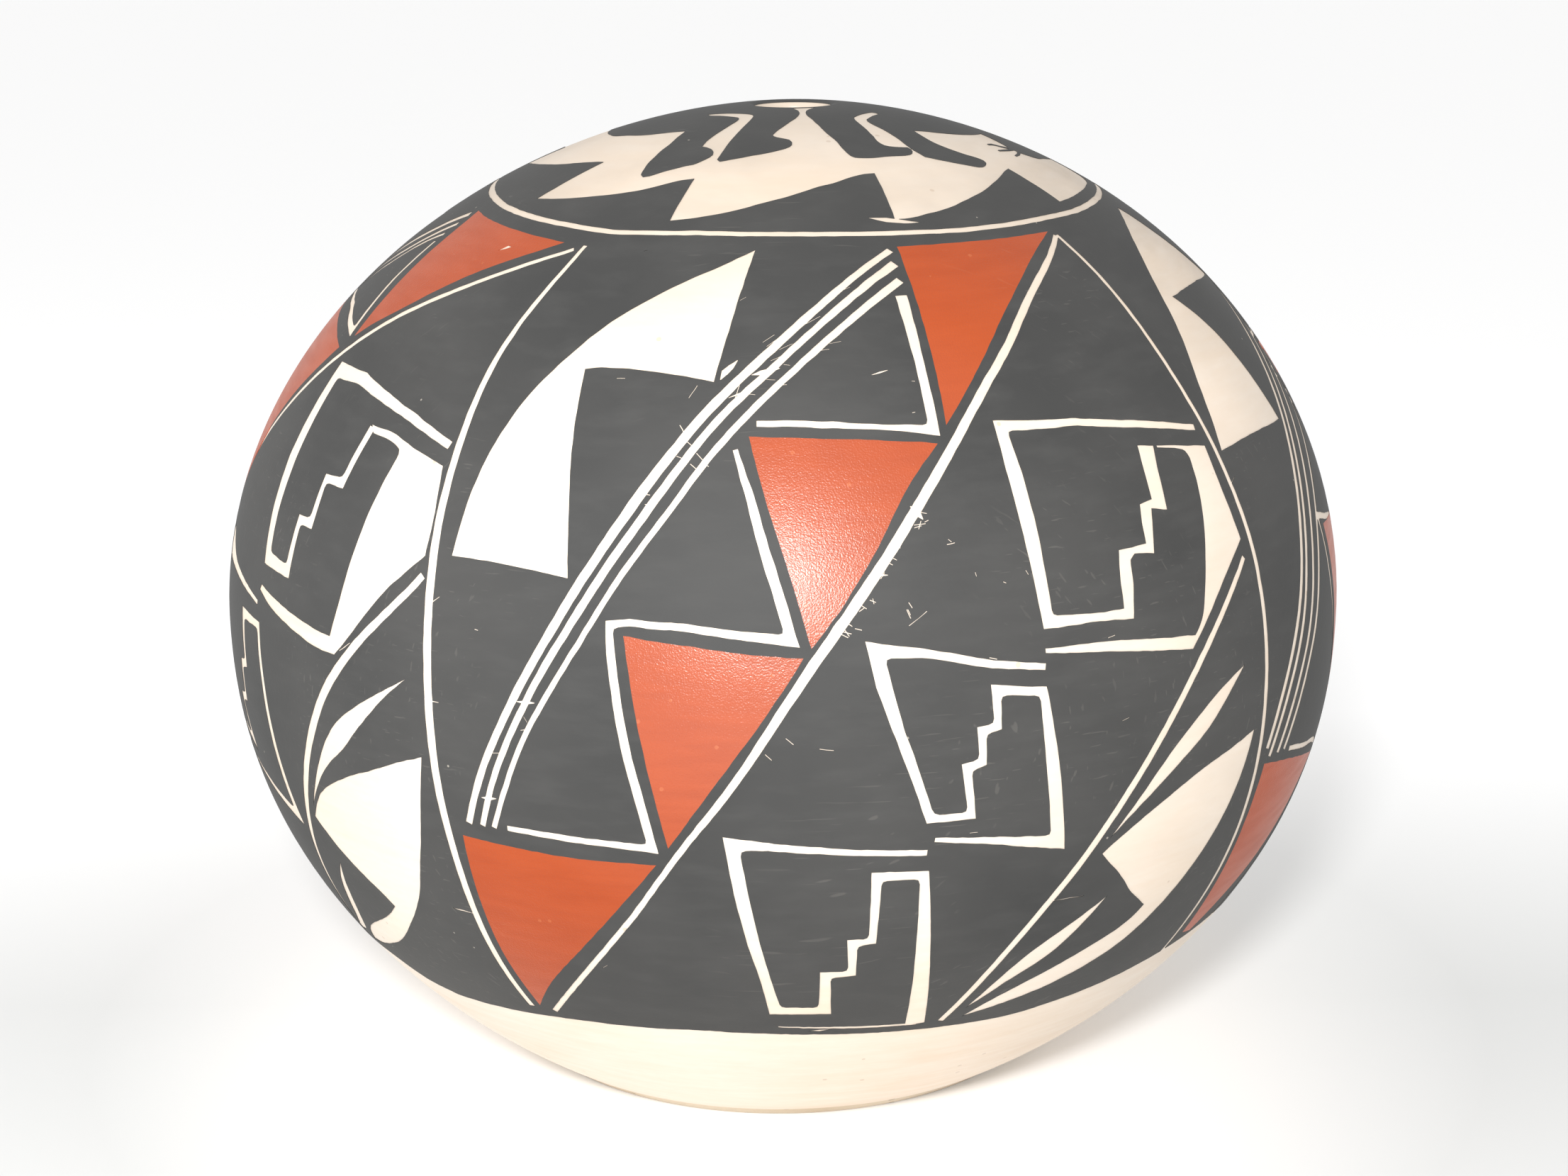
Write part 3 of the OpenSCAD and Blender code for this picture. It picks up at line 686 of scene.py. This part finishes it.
def spread(outline):
    """The same outline in its place on the wall, where the panels widen towards the back."""
    out = np.array(outline, float)
    turn, way = np.abs(out[:, 0]), np.sign(out[:, 0])
    out[:, 0] = np.where(turn > EVEN_TO, way * (EVEN_TO + (turn - EVEN_TO) * SPREAD), out[:, 0])
    return out


def panel(turn, leaf_lift=0.0, fourth_line=False):
    """(paint, outline) of everything in one panel, in the order that it is painted."""
    marks = [("bare", moved(LEAF, turn, leaf_lift)), ("bare", moved(DIAGONAL, turn))]
    marks += [("bare", moved(line, turn)) for line in FINE_LINES]
    if fourth_line:
        marks.append(("bare", moved(FINE_LINES[-1], turn) + FOURTH_LINE_OFF))
    marks += [("bare", moved(line, turn)) for line in STEP_LINES + BOXES + BLADES]
    marks.append(("bare", moved(SWEEP_LINE, turn)))
    marks += [("red", moved(step, turn)) for step in RED_STEPS]
    return marks


def right_panel():
    repeated = [DIAGONAL, SWEEP_LINE, STEP_LINES[0]] + BOXES + BLADES
    own = [RIGHT_LEAF, RIGHT_STEP_LINE, RIGHT_LOW_LINE] + RIGHT_FINE_LINES
    marks = [("bare", moved(line, PANEL_TURN)) for line in repeated]
    marks += [("bare", line) for line in own]
    marks += [("red", moved(step, PANEL_TURN + on))
              for step, on in [(RED_STEPS[1], 2), (RED_STEPS[2], 2), (RED_STEPS[0], 5)]]
    marks.append(("red", RIGHT_LOW_RED))
    return marks


def left_panel():
    own = [LEFT_DIAGONAL, LEFT_SWEEP] + LEFT_FINE_LINES + LEFT_STEP_LINES + LEFT_BOXES + LEFT_BLADES
    marks = [("bare", moved(LEAF, -PANEL_TURN, 2))]
    marks += [("bare", line) for line in own]
    marks += [("bare", moved(box, -PANEL_TURN)) for box in BOXES[4:]]
    marks += [("red", step) for step in LEFT_RED]
    marks += [("red", moved(step, -PANEL_TURN)) for step in RED_STEPS[2:]]
    return marks


def ring(line, lift):
    """A closed ring round the jar through (degrees, height) spots."""
    az = np.arange(-180, 180, 0.6)
    spots = np.array(line)
    up = np.interp(az, spots[:, 0], spots[:, 1])
    for _ in range(6):
        up = (np.roll(up, 1) + 2 * up + np.roll(up, -1)) / 4
    return np.column_stack([az, up + lift])


def fins():
    """The edge of the bare crown, inside the fins."""
    out = []
    for i, start in enumerate(FIN_CORNERS):
        if start in FIN_EDGES_IN_SIGHT:
            out.append(smooth(FIN_EDGES_IN_SIGHT[start], 1))
            continue
        reach = (FIN_CORNERS[(i + 1) % len(FIN_CORNERS)] - start) % 360
        edge = smooth([(start + share * reach, FIN_STRIP_UP + inward) for share, inward in FIN_EDGE], 1)
        out.append(edge)
        out.append([[start + reach + 0.9, FIN_STRIP_UP + FIN_TIP_IN]])
    return evened(np.vstack(out))


def plan_of(round_deg, up):
    """A spot on the wall, seen from above."""
    r, a = float(radius_at(up)), math.radians(round_deg)
    return r * math.sin(a), -r * math.cos(a)


def crown_figure():
    """The dark figure round the mouth and its three whiskers, drawn as seen from above."""
    parts = [[plan_of(*spot) for spot in part] for part in FIGURE_LEFT] + FIGURE_MIDDLE
    parts += [[plan_of(*spot) for spot in part] for part in FIGURE_RIGHT]
    drawn = []
    for part in parts:
        q = led_on(part)
        for a, b, c, d in zip(q[:-3], q[1:-2], q[2:-1], q[3:]):
            drawn += curve(a, b, c, d, np.hypot(*(c - b)) / BRUSH_STEP)
    drawn = np.array(drawn)
    marks = [("crown", np.column_stack(crown_spot(drawn[:, 0], drawn[:, 1])))]
    return marks + [("crown", brush(line, 0.8, 0.7, 0.5)) for line in WHISKERS]


def all_marks():
    """(paint, outline) of the whole design: what comes later covers what came before."""
    marks = [("band", ring(LOW_EDGE, 0)), ("bare", ring(RING_LINE, -RING_LINE_W / 2)),
             ("crown", ring(RING_LINE, RING_LINE_W / 2)), ("bare", fins())]
    marks += left_panel() + right_panel()
    marks += panel(0) + panel(2 * PANEL_TURN, leaf_lift=5.0, fourth_line=True)
    for border, turn in [(LEFT_BORDER, 0), (RIGHT_BORDER, 0), (LEFT_BORDER, -PANEL_TURN),
                         (RIGHT_BORDER, PANEL_TURN)]:
        marks.append(("bare", moved(border, turn)))
    marks = marks[:4] + [(paint, spread(outline)) for paint, outline in marks[4:]]
    marks += crown_figure()
    marks += [("bare", brush(path, 0.15, width, width * 0.8, 0.15)) for path, width in SCUFFS]
    mouth_edge = crown_spot(0, MOUTH_R + LIP_R + 0.1)[1]
    marks.append(("bare", np.column_stack([np.arange(0, 360, 4), np.full(90, mouth_edge)])))
    return marks


def to_plan(outline):
    """Flattens the wall from the crown outwards, in millimetres."""
    far = WALL_TOP - outline[:, 1]
    a = np.radians(outline[:, 0])
    return np.column_stack([far * np.sin(a), -far * np.cos(a)])


def from_plan(flat):
    """Degrees round and millimetres up the wall of spots on the flattened wall."""
    far = np.hypot(flat[:, 0], flat[:, 1])
    return np.degrees(np.arctan2(flat[:, 0], -flat[:, 1])), WALL_TOP - far


def unsteady(flat):
    """The small waver of a yucca brush."""
    out = flat.copy()
    for i, (x, y) in enumerate(flat):
        slow = noise.noise_vector(Vector((x / SLOW_WAVER, y / SLOW_WAVER, 3.1)))
        quick = noise.noise_vector(Vector((x / QUICK_WAVER, y / QUICK_WAVER, 7.7)))
        out[i, 0] += WAVER * slow.x + WAVER * quick.x
        out[i, 1] += WAVER * slow.y + WAVER * quick.y
    return out


def inside(points, outline):
    """Which points lie inside a closed outline."""
    x, y = points[:, 0], points[:, 1]
    within = np.zeros(len(points), bool)
    low, high = outline.min(0), outline.max(0)
    near = np.where((x > low[0]) & (x < high[0]) & (y > low[1]) & (y < high[1]))[0]
    px, py = x[near], y[near]
    odd = np.zeros(len(near), bool)
    for a, b in zip(outline, np.roll(outline, -1, axis=0)):
        if a[1] == b[1]:
            continue
        spans = (a[1] > py) != (b[1] > py)
        cross = a[0] + (py - a[1]) * (b[0] - a[0]) / (b[1] - a[1])
        odd ^= spans & (px < cross)
    within[near] = odd
    return within


def paint_pieces():
    """Cuts the painted wall into the black band, the red steps and the crown's black."""
    noise.seed_set(WAVER_SEED)
    marks = [(paint, unsteady(to_plan(outline))) for paint, outline in all_marks()]
    spots, edges = [], []
    tree = kdtree.KDTree(sum(len(o) for _, o in marks))
    for _, outline in marks:
        first = len(spots)
        for i, p in enumerate(outline):
            tree.insert(Vector((p[0], p[1], 0)), len(spots))
            spots.append(Vector((p[0], p[1])))
            edges.append((first + i, first + (i + 1) % len(outline)))
    tree.balance()
    low = WALL_TOP - FIELD_FROM_UP
    for far in np.arange(FIELD_STEP / 2, low, FIELD_STEP):
        up = WALL_TOP - far
        n = max(6, int(2 * math.pi * radius_at(up) / FIELD_STEP))
        for k in range(n):
            a = 2 * math.pi * (k + 0.5 * (int(far / FIELD_STEP) % 2)) / n
            p = Vector((far * math.sin(a), -far * math.cos(a)))
            if tree.find(p.to_3d())[2] > FIELD_GAP:
                spots.append(p)
    out = geometry.delaunay_2d_cdt(spots, edges, [], 0, 1e-5, False)
    flat = np.array([(v[0], v[1]) for v in out[0]])
    faces = np.array(out[2])
    centres = flat[faces].mean(1)
    label = np.full(len(faces), "none", dtype=object)
    for paint, outline in marks:
        label[inside(centres, outline)] = paint
    az, up = from_plan(flat)
    return flat, faces, label, az, up


def painted(name, faces, az, up):
    """A thin closed coat over some faces of the wall."""
    used, local = np.unique(faces, return_inverse=True)
    faces = local.reshape(-1, 3)
    n = len(used)
    top = on_wall(az[used], up[used], PAINT_TOP_IN)
    low = on_wall(az[used], up[used], SLIP_TOP_IN)
    a = top[faces[:, 1]] - top[faces[:, 0]]
    b = top[faces[:, 2]] - top[faces[:, 0]]
    from_middle = top[faces].mean(1) - np.array([0, 0, 0.09])
    wrong = (np.cross(a, b) * from_middle).sum(1) < 0
    faces[wrong] = faces[wrong][:, ::-1]
    ways = np.vstack([faces[:, [0, 1]], faces[:, [1, 2]], faces[:, [2, 0]]])
    there = {(int(i), int(j)) for i, j in ways}
    rims = sorted((i, j) for i, j in there if (j, i) not in there)
    skin = [tuple(map(int, f)) for f in faces]
    skin += [tuple(int(i) + n for i in f[::-1]) for f in faces]
    skin += [(i, i + n, j + n, j) for i, j in rims]
    mesh = bpy.data.meshes.new(name)
    mesh.from_pydata([tuple(v) for v in np.vstack([top, low])], [], skin)
    mesh.validate()
    piece = new_piece(name, mesh)
    bpy.ops.object.shade_smooth_by_angle(angle=CRISP)
    piece.select_set(False)
    return piece


# Finishes
def new_material(name):
    material = bpy.data.materials.new(name)
    material.use_nodes = True
    nodes = material.node_tree.nodes
    nodes.clear()
    out = nodes.new("ShaderNodeOutputMaterial")
    shader = nodes.new("ShaderNodeBsdfPrincipled")
    material.node_tree.links.new(shader.outputs["BSDF"], out.inputs["Surface"])
    return material, shader


def add(tree, kind, feeds=None, **settings):
    """A shader node with its settings, its inputs fed by sockets or plain values."""
    made = tree.nodes.new(kind)
    for name, value in settings.items():
        setattr(made, name, value)
    for name, value in (feeds or {}).items():
        if isinstance(value, bpy.types.NodeSocket):
            tree.links.new(value, made.inputs[name])
        else:
            made.inputs[name].default_value = value
    return made


def new_group(name, inputs, outputs):
    """An effect that several finishes share, as a node group."""
    tree = bpy.data.node_groups.new(name, "ShaderNodeTree")
    for label, value in inputs.items():
        made = tree.interface.new_socket(label, in_out="INPUT", socket_type="NodeSocketFloat")
        made.default_value = value
    for label in outputs:
        tree.interface.new_socket(label, in_out="OUTPUT", socket_type="NodeSocketFloat")
    given = tree.nodes.new("NodeGroupInput").outputs
    result = tree.nodes.new("NodeGroupOutput").inputs
    return tree, given, result


def cloud_group():
    """Soft uneven patches: Per Metre sets how many, Flat stretches them round the jar."""
    tree, given, result = new_group(
        "cloudy", {"Per Metre": 30.0, "Flat": 1.0, "Detail": 3.0, "From": 0.35, "To": 0.65}, ["Mask"])
    place = object_place(tree)
    up = add(tree, "ShaderNodeCombineXYZ", {"X": 1.0, "Y": 1.0, "Z": given["Flat"]})
    spots = add(tree, "ShaderNodeVectorMath", {0: place, 1: up.outputs[0]}, operation="MULTIPLY")
    wave = add(tree, "ShaderNodeTexNoise", {"Vector": spots.outputs[0], "Scale": given["Per Metre"],
                                            "Detail": given["Detail"]})
    tree.links.new(ramp(tree, wave.outputs[0], given["From"], given["To"]), result["Mask"])
    return tree


def scratch_group():
    """Short hairline scratches in two directions, gathered in patches."""
    tree, given, result = new_group("hairlines", {"Per Metre": 60.0, "Amount": 0.5}, ["Mask"])
    place = object_place(tree)
    lines = []
    for turn, stretch in [((0.4, 0.3, 0.2), (1, 26, 5)), ((-0.5, 0.9, 1.1), (1.2, 6, 30))]:
        turned = add(tree, "ShaderNodeMapping", {"Vector": place, "Rotation": turn, "Scale": stretch})
        wave = add(tree, "ShaderNodeTexNoise", {"Vector": turned.outputs[0], "Scale": given["Per Metre"],
                                                "Detail": 1.0})
        lines.append(ramp(tree, wave.outputs[0], 0.70, 0.74))
    both = add(tree, "ShaderNodeMath", {0: lines[0], 1: lines[1]}, operation="MAXIMUM").outputs[0]
    patch = add(tree, "ShaderNodeTexNoise", {"Vector": place, "Scale": 21.0, "Detail": 2.0})
    kept = scaled(tree, both, ramp(tree, patch.outputs[0], 0.48, 0.62))
    tree.links.new(scaled(tree, kept, given["Amount"]), result["Mask"])
    return tree


def speck_group():
    """Tiny specks of temper and pinprick chips: few of the cells hold one."""
    tree, given, result = new_group("specks", {"Per Metre": 600.0, "Size": 0.25, "Few": 0.9}, ["Mask"])
    place = object_place(tree)
    cell = add(tree, "ShaderNodeTexVoronoi", {"Vector": place, "Scale": given["Per Metre"]})
    dot = add(tree, "ShaderNodeMath", {0: cell.outputs["Distance"], 1: given["Size"]},
              operation="LESS_THAN").outputs[0]
    pick = add(tree, "ShaderNodeSeparateColor", {"Color": cell.outputs["Color"]}).outputs[0]
    chosen = add(tree, "ShaderNodeMath", {0: pick, 1: given["Few"]}, operation="GREATER_THAN").outputs[0]
    tree.links.new(scaled(tree, dot, chosen), result["Mask"])
    return tree


def effect(tree, group, **values):
    """The mask of a shared effect, with this material's own values."""
    made = tree.nodes.new("ShaderNodeGroup")
    made.node_tree = group
    for name, value in values.items():
        made.inputs[name.replace("_", " ")].default_value = value
    return made.outputs["Mask"]


def blend_colours(tree, amount, first, second):
    """first where the mask is 0 and second where it is 1."""
    mix = add(tree, "ShaderNodeMix", {0: amount}, data_type="RGBA")
    for socket, value in ((mix.inputs[6], first), (mix.inputs[7], second)):
        if isinstance(value, bpy.types.NodeSocket):
            tree.links.new(value, socket)
        else:
            socket.default_value = (*value, 1)
    return mix.outputs[2]


def scaled(tree, value, factor):
    return add(tree, "ShaderNodeMath", {0: value, 1: factor}, operation="MULTIPLY").outputs[0]


def ramp(tree, value, low, high, at_low=0.0, at_high=1.0):
    """A value that goes from at_low to at_high as another goes from low to high."""
    return add(tree, "ShaderNodeMapRange", {"Value": value, "From Min": low, "From Max": high,
                                            "To Min": at_low, "To Max": at_high}).outputs[0]


def object_place(tree):
    return add(tree, "ShaderNodeTexCoord").outputs["Object"]


def along_axis(tree, axis):
    return add(tree, "ShaderNodeSeparateXYZ", {"Vector": object_place(tree)}).outputs[axis]


def total(tree, *values):
    out = values[0]
    for value in values[1:]:
        out = add(tree, "ShaderNodeMath", {0: out, 1: value}, operation="ADD").outputs[0]
    return out


def bumped(tree, shader, height, strength, depth):
    bump = add(tree, "ShaderNodeBump", {"Height": height, "Strength": strength, "Distance": depth})
    tree.links.new(bump.outputs[0], shader.inputs["Normal"])


def cream_slip_finish(cloudy, specks):
    """White clay slip rubbed with a stone: warm clouds, level streaks, and darker on the crown, partly
    for grime and partly as painted shade, and on the right as painted shade."""
    material, shader = new_material("polished_cream_slip")
    tree = material.node_tree
    warm = effect(tree, cloudy, Per_Metre=16.0, Flat=2.2, Detail=4.0, From=0.42, To=0.72)
    streak = effect(tree, cloudy, Per_Metre=70.0, Flat=9.0, Detail=3.0, From=0.35, To=0.7)
    fine = effect(tree, cloudy, Per_Metre=420.0, Flat=3.0, Detail=3.0, From=0.3, To=0.7)
    dot = effect(tree, specks, Per_Metre=420.0, Size=0.2, Few=0.985)
    colour = blend_colours(tree, warm, (0.78, 0.675, 0.57), (0.74, 0.60, 0.465))
    colour = blend_colours(tree, scaled(tree, streak, 0.35), colour, (0.80, 0.72, 0.63))
    # Painted shade: the slip darkens towards the right side as painted shade, and on the crown partly as
    # grime and partly as painted shade
    crown_grime_and_right_shade = total(tree, ramp(tree, along_axis(tree, "Z"), 0.15, 0.18, at_high=0.75),
                    ramp(tree, along_axis(tree, "X"), 0.03, 0.09, at_high=0.5))
    patches_of_grime_and_shade = effect(tree, cloudy, Per_Metre=48.0, Flat=2.5, Detail=4.0, From=0.38, To=0.68)
    grime_and_painted_shade = scaled(tree, crown_grime_and_right_shade, total(tree, scaled(tree, patches_of_grime_and_shade, 0.3), 0.55))
    colour = blend_colours(tree, grime_and_painted_shade, colour, (0.44, 0.365, 0.29))
    colour = blend_colours(tree, scaled(tree, fine, 0.12), colour, (0.66, 0.53, 0.39))
    colour = blend_colours(tree, scaled(tree, dot, 0.45), colour, (0.42, 0.31, 0.22))
    tree.links.new(colour, shader.inputs["Base Color"])
    tree.links.new(ramp(tree, streak, 0, 1, 0.52, 0.40), shader.inputs["Roughness"])
    bumped(tree, shader, total(tree, scaled(tree, streak, 0.6), scaled(tree, fine, 0.25)), 0.25, 0.00012)
    return material


def black_paint_finish(cloudy, hairlines, specks):
    """Boiled-plant and iron paint: matte charcoal, a little cloudy, with hairline scratches."""
    material, shader = new_material("black_mineral_paint")
    tree = material.node_tree
    cloud = effect(tree, cloudy, Per_Metre=22.0, Flat=1.0, Detail=4.0, From=0.35, To=0.7)
    rub = effect(tree, cloudy, Per_Metre=90.0, Flat=4.0, Detail=4.0, From=0.45, To=0.75)
    line = effect(tree, hairlines, Per_Metre=75.0, Amount=0.16)
    dot = effect(tree, specks, Per_Metre=520.0, Size=0.12, Few=0.99)
    colour = blend_colours(tree, cloud, (0.030, 0.030, 0.029), (0.048, 0.047, 0.045))
    colour = blend_colours(tree, scaled(tree, rub, 0.25), colour, (0.075, 0.074, 0.071))
    colour = blend_colours(tree, scaled(tree, line, 0.5), colour, (0.36, 0.33, 0.29))
    colour = blend_colours(tree, scaled(tree, dot, 0.45), colour, (0.50, 0.45, 0.38))
    tree.links.new(colour, shader.inputs["Base Color"])
    tree.links.new(ramp(tree, total(tree, cloud, rub), 0, 2, 0.68, 0.78), shader.inputs["Roughness"])
    grain = effect(tree, cloudy, Per_Metre=900.0, Flat=1.0, Detail=2.0, From=0.3, To=0.7)
    bumped(tree, shader, total(tree, scaled(tree, rub, 0.5), scaled(tree, grain, 0.35)), 0.3, 0.00010)
    return material


def red_slip_finish(cloudy, hairlines, specks):
    """Iron-red slip with a soft polish: level streaks and glints of fine mica."""
    material, shader = new_material("polished_red_slip")
    tree = material.node_tree
    streak = effect(tree, cloudy, Per_Metre=80.0, Flat=7.0, Detail=4.0, From=0.3, To=0.72)
    cloud = effect(tree, cloudy, Per_Metre=30.0, Flat=1.6, Detail=4.0, From=0.35, To=0.7)
    dot = effect(tree, specks, Per_Metre=520.0, Size=0.2, Few=0.955)
    line = effect(tree, hairlines, Per_Metre=70.0, Amount=0.15)
    colour = blend_colours(tree, cloud, (0.36, 0.059, 0.012), (0.32, 0.049, 0.010))
    colour = blend_colours(tree, scaled(tree, streak, 0.35), colour, (0.43, 0.076, 0.018))
    colour = blend_colours(tree, scaled(tree, dot, 0.15), colour, (0.70, 0.28, 0.12))
    colour = blend_colours(tree, scaled(tree, line, 0.3), colour, (0.78, 0.42, 0.26))
    tree.links.new(colour, shader.inputs["Base Color"])
    tree.links.new(ramp(tree, streak, 0, 1, 0.40, 0.34), shader.inputs["Roughness"])
    facing = add(tree, "ShaderNodeLayerWeight", {"Blend": 0.5}).outputs["Facing"]
    tree.links.new(ramp(tree, facing, 0.04, 0.26, 1.0, 0.0), shader.inputs["Coat Weight"])
    shader.inputs["Coat Roughness"].default_value = 0.32
    shader.inputs["Specular IOR Level"].default_value = 0.28
    grain = effect(tree, cloudy, Per_Metre=3200.0, Flat=1.0, Detail=1.0, From=0.3, To=0.7)
    bumped(tree, shader, total(tree, scaled(tree, streak, 0.3), scaled(tree, grain, 0.6)), 0.6, 0.00008)
    tree.links.new(shader.inputs["Normal"].links[0].from_socket, shader.inputs["Coat Normal"])
    return material


def bare_clay_finish(cloudy, specks):
    """Fired white clay with its temper showing, scraped but not polished."""
    material, shader = new_material("bare_fired_clay")
    tree = material.node_tree
    cloud = effect(tree, cloudy, Per_Metre=35.0, Flat=1.5, Detail=4.0, From=0.35, To=0.7)
    dot = effect(tree, specks, Per_Metre=380.0, Size=0.3, Few=0.9)
    grain = effect(tree, cloudy, Per_Metre=700.0, Flat=1.0, Detail=3.0, From=0.3, To=0.7)
    colour = blend_colours(tree, cloud, (0.70, 0.60, 0.47), (0.60, 0.49, 0.36))
    colour = blend_colours(tree, scaled(tree, dot, 0.5), colour, (0.33, 0.25, 0.18))
    tree.links.new(colour, shader.inputs["Base Color"])
    shader.inputs["Roughness"].default_value = 0.85
    bumped(tree, shader, total(tree, grain, dot), 0.5, 0.0002)
    return material


def lip_layer(lip_z, thick):
    """The section of a layer over the rounded lip and down the wall of the mouth."""
    arc = [(MOUTH_R + LIP_R - (LIP_R + thick) * math.cos(math.radians(a)),
            lip_z - LIP_R + (LIP_R + thick) * math.sin(math.radians(a)))
           for a in range(84, -1, -12)]
    return arc + [(MOUTH_R - thick, lip_z - LIP_R - MOUTH_L + 0.1)]


def build_jar():
    cloudy, hairlines, specks = cloud_group(), scratch_group(), speck_group()
    clay = bare_clay_finish(cloudy, specks)
    slip = cream_slip_finish(cloudy, specks)
    black = black_paint_finish(cloudy, hairlines, specks)
    red = red_slip_finish(cloudy, hairlines, specks)

    slip_low = turn_at_height(SLIP_LOW_Z, CLAY_IN)
    base = turn_at_height(BASE_H, CLAY_IN)
    lip = turn_at_radius(MOUTH_R + LIP_R, CLAY_IN)
    last = turn_at_radius(MOUTH_R + MOUTH_COIL_W, CLAY_IN)
    coil = (last - base) / COIL_N
    floor = turn_at_height(FLOOR, INNER_IN)

    bowl = [(0, 0), (FOOT_D / 2, 0)] + run(slip_low, base, CLAY_IN)
    bowl += run(floor, base - COIL_LAP, INNER_IN)[::-1] + [(0, section(floor, INNER_IN)[1])]
    finish_piece(spun("clay_base_bowl", bowl), clay, "clay", "base_bowl")
    for i in range(COIL_N):
        low, high = base + i * coil, base + (i + 1) * coil
        wall = run(low, high, CLAY_IN) + run(low - COIL_LAP, high - COIL_LAP, INNER_IN)[::-1]
        finish_piece(spun(f"clay_coil_{i + 1}", wall), clay, "clay", f"wall_coil_{i + 1}")
    lip_z = float(section(lip, CLAY_IN)[1])
    rounding = [(MOUTH_R + LIP_R - LIP_R * math.cos(math.radians(a)),
                 lip_z - LIP_R + LIP_R * math.sin(math.radians(a))) for a in range(75, -1, -15)]
    inner_end = turn_at_radius(MOUTH_R + LIP_R, INNER_IN)
    mouth = run(last, lip, CLAY_IN) + rounding + [(MOUTH_R, lip_z - LIP_R - MOUTH_L)]
    mouth += run(last - COIL_LAP, inner_end, INNER_IN)[::-1]
    finish_piece(spun("clay_mouth_coil", mouth), clay, "clay", "mouth_coil")
    over_lip = lip_layer(lip_z, CLAY_IN - SLIP_TOP_IN)
    under_lip = lip_layer(lip_z, 0)
    coat_ring = run(slip_low, lip, SLIP_TOP_IN) + over_lip + under_lip[::-1]
    coat_ring += run(slip_low, lip, CLAY_IN)[::-1]
    finish_piece(spun("slip_coat", coat_ring), slip, "cream_slip", "cream_slip")
    dark_lip = lip_layer(lip_z, CLAY_IN - PAINT_TOP_IN)[:4] + over_lip[:4][::-1]
    lip_paint = spun("paint_lip", [tuple(section(lip - 0.15, PAINT_TOP_IN))] + dark_lip
                     + [tuple(section(lip - 0.15, SLIP_TOP_IN))])
    lip_paint.data.materials.append(black)
    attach(lip_paint, "root")

    flat, faces, label, az, up = paint_pieces()
    for name, paint, material, slot, node in [
            ("paint_band", "band", black, "black_paint", "black_band"),
            ("paint_red_steps", "red", red, "red_slip", "red_steps"),
            ("paint_crown", "crown", black, "black_paint", "crown_fins")]:
        finish_piece(painted(name, faces[label == paint], az, up), material, slot, node)


def build_studio():
    """White paper under the jar, greyed round its front by painted shade and glowing faintly as painted
    light, and soft white light.
    """
    bpy.ops.mesh.primitive_plane_add(size=16, location=(0, 0, -0.0002))
    table = bpy.context.active_object
    table.name = "white_table"
    material, shader = new_material("white_paper")
    tree = material.node_tree
    apart = add(tree, "ShaderNodeVectorMath", {0: object_place(tree), 1: (0, 0, 0)},
                operation="DISTANCE").outputs["Value"]
    # Painted shade: the paper greys in a ring round the jar's front
    front = ramp(tree, along_axis(tree, "Y"), 0.20, 0.0)
    floor_painted_shade = scaled(tree, ramp(tree, apart, 0.05, 0.15), front)
    floor_painted_shade = scaled(tree, floor_painted_shade, ramp(tree, apart, 0.7, 0.3))
    colour = blend_colours(tree, floor_painted_shade, (0.955, 0.955, 0.953), (0.60, 0.605, 0.598))
    tree.links.new(colour, shader.inputs["Base Color"])
    shader.inputs["Roughness"].default_value = 0.9
    shader.inputs["Specular IOR Level"].default_value = 0.1
    # Painted light: the paper glows faintly so that it stays white far from the lamps
    shader.inputs["Emission Color"].default_value = (1, 1, 1, 1)
    shader.inputs["Emission Strength"].default_value = 0.13
    table.data.materials.append(material)
    table.select_set(False)
    world = bpy.data.worlds.new("studio")
    world.use_nodes = True
    world.node_tree.nodes["Background"].inputs["Color"].default_value = (1, 1, 1, 1)
    world.node_tree.nodes["Background"].inputs["Strength"].default_value = 0.86
    bpy.context.scene.world = world
    place_lamp("flash", (-0.045, -0.6, 0.358), 0.08, 3.8)
    place_lamp("window", (-0.9, -0.35, 0.3), 0.5, 2.4)


def place_lamp(name, spot, size, power):
    """A round lamp that faces the jar."""
    light = bpy.data.lights.new(name, "AREA")
    light.shape = "DISK"
    light.size = size
    light.energy = power
    lamp = bpy.data.objects.new(name, light)
    bpy.context.scene.collection.objects.link(lamp)
    spot = Vector(spot)
    lamp.matrix_world = Matrix.Translation(spot) @ (
        (Vector((0, 0, 0.1)) - spot).to_track_quat("-Z", "Y").to_matrix().to_4x4())


build_jar()
build_studio()
bpy.context.scene.view_settings.view_transform = "Standard"
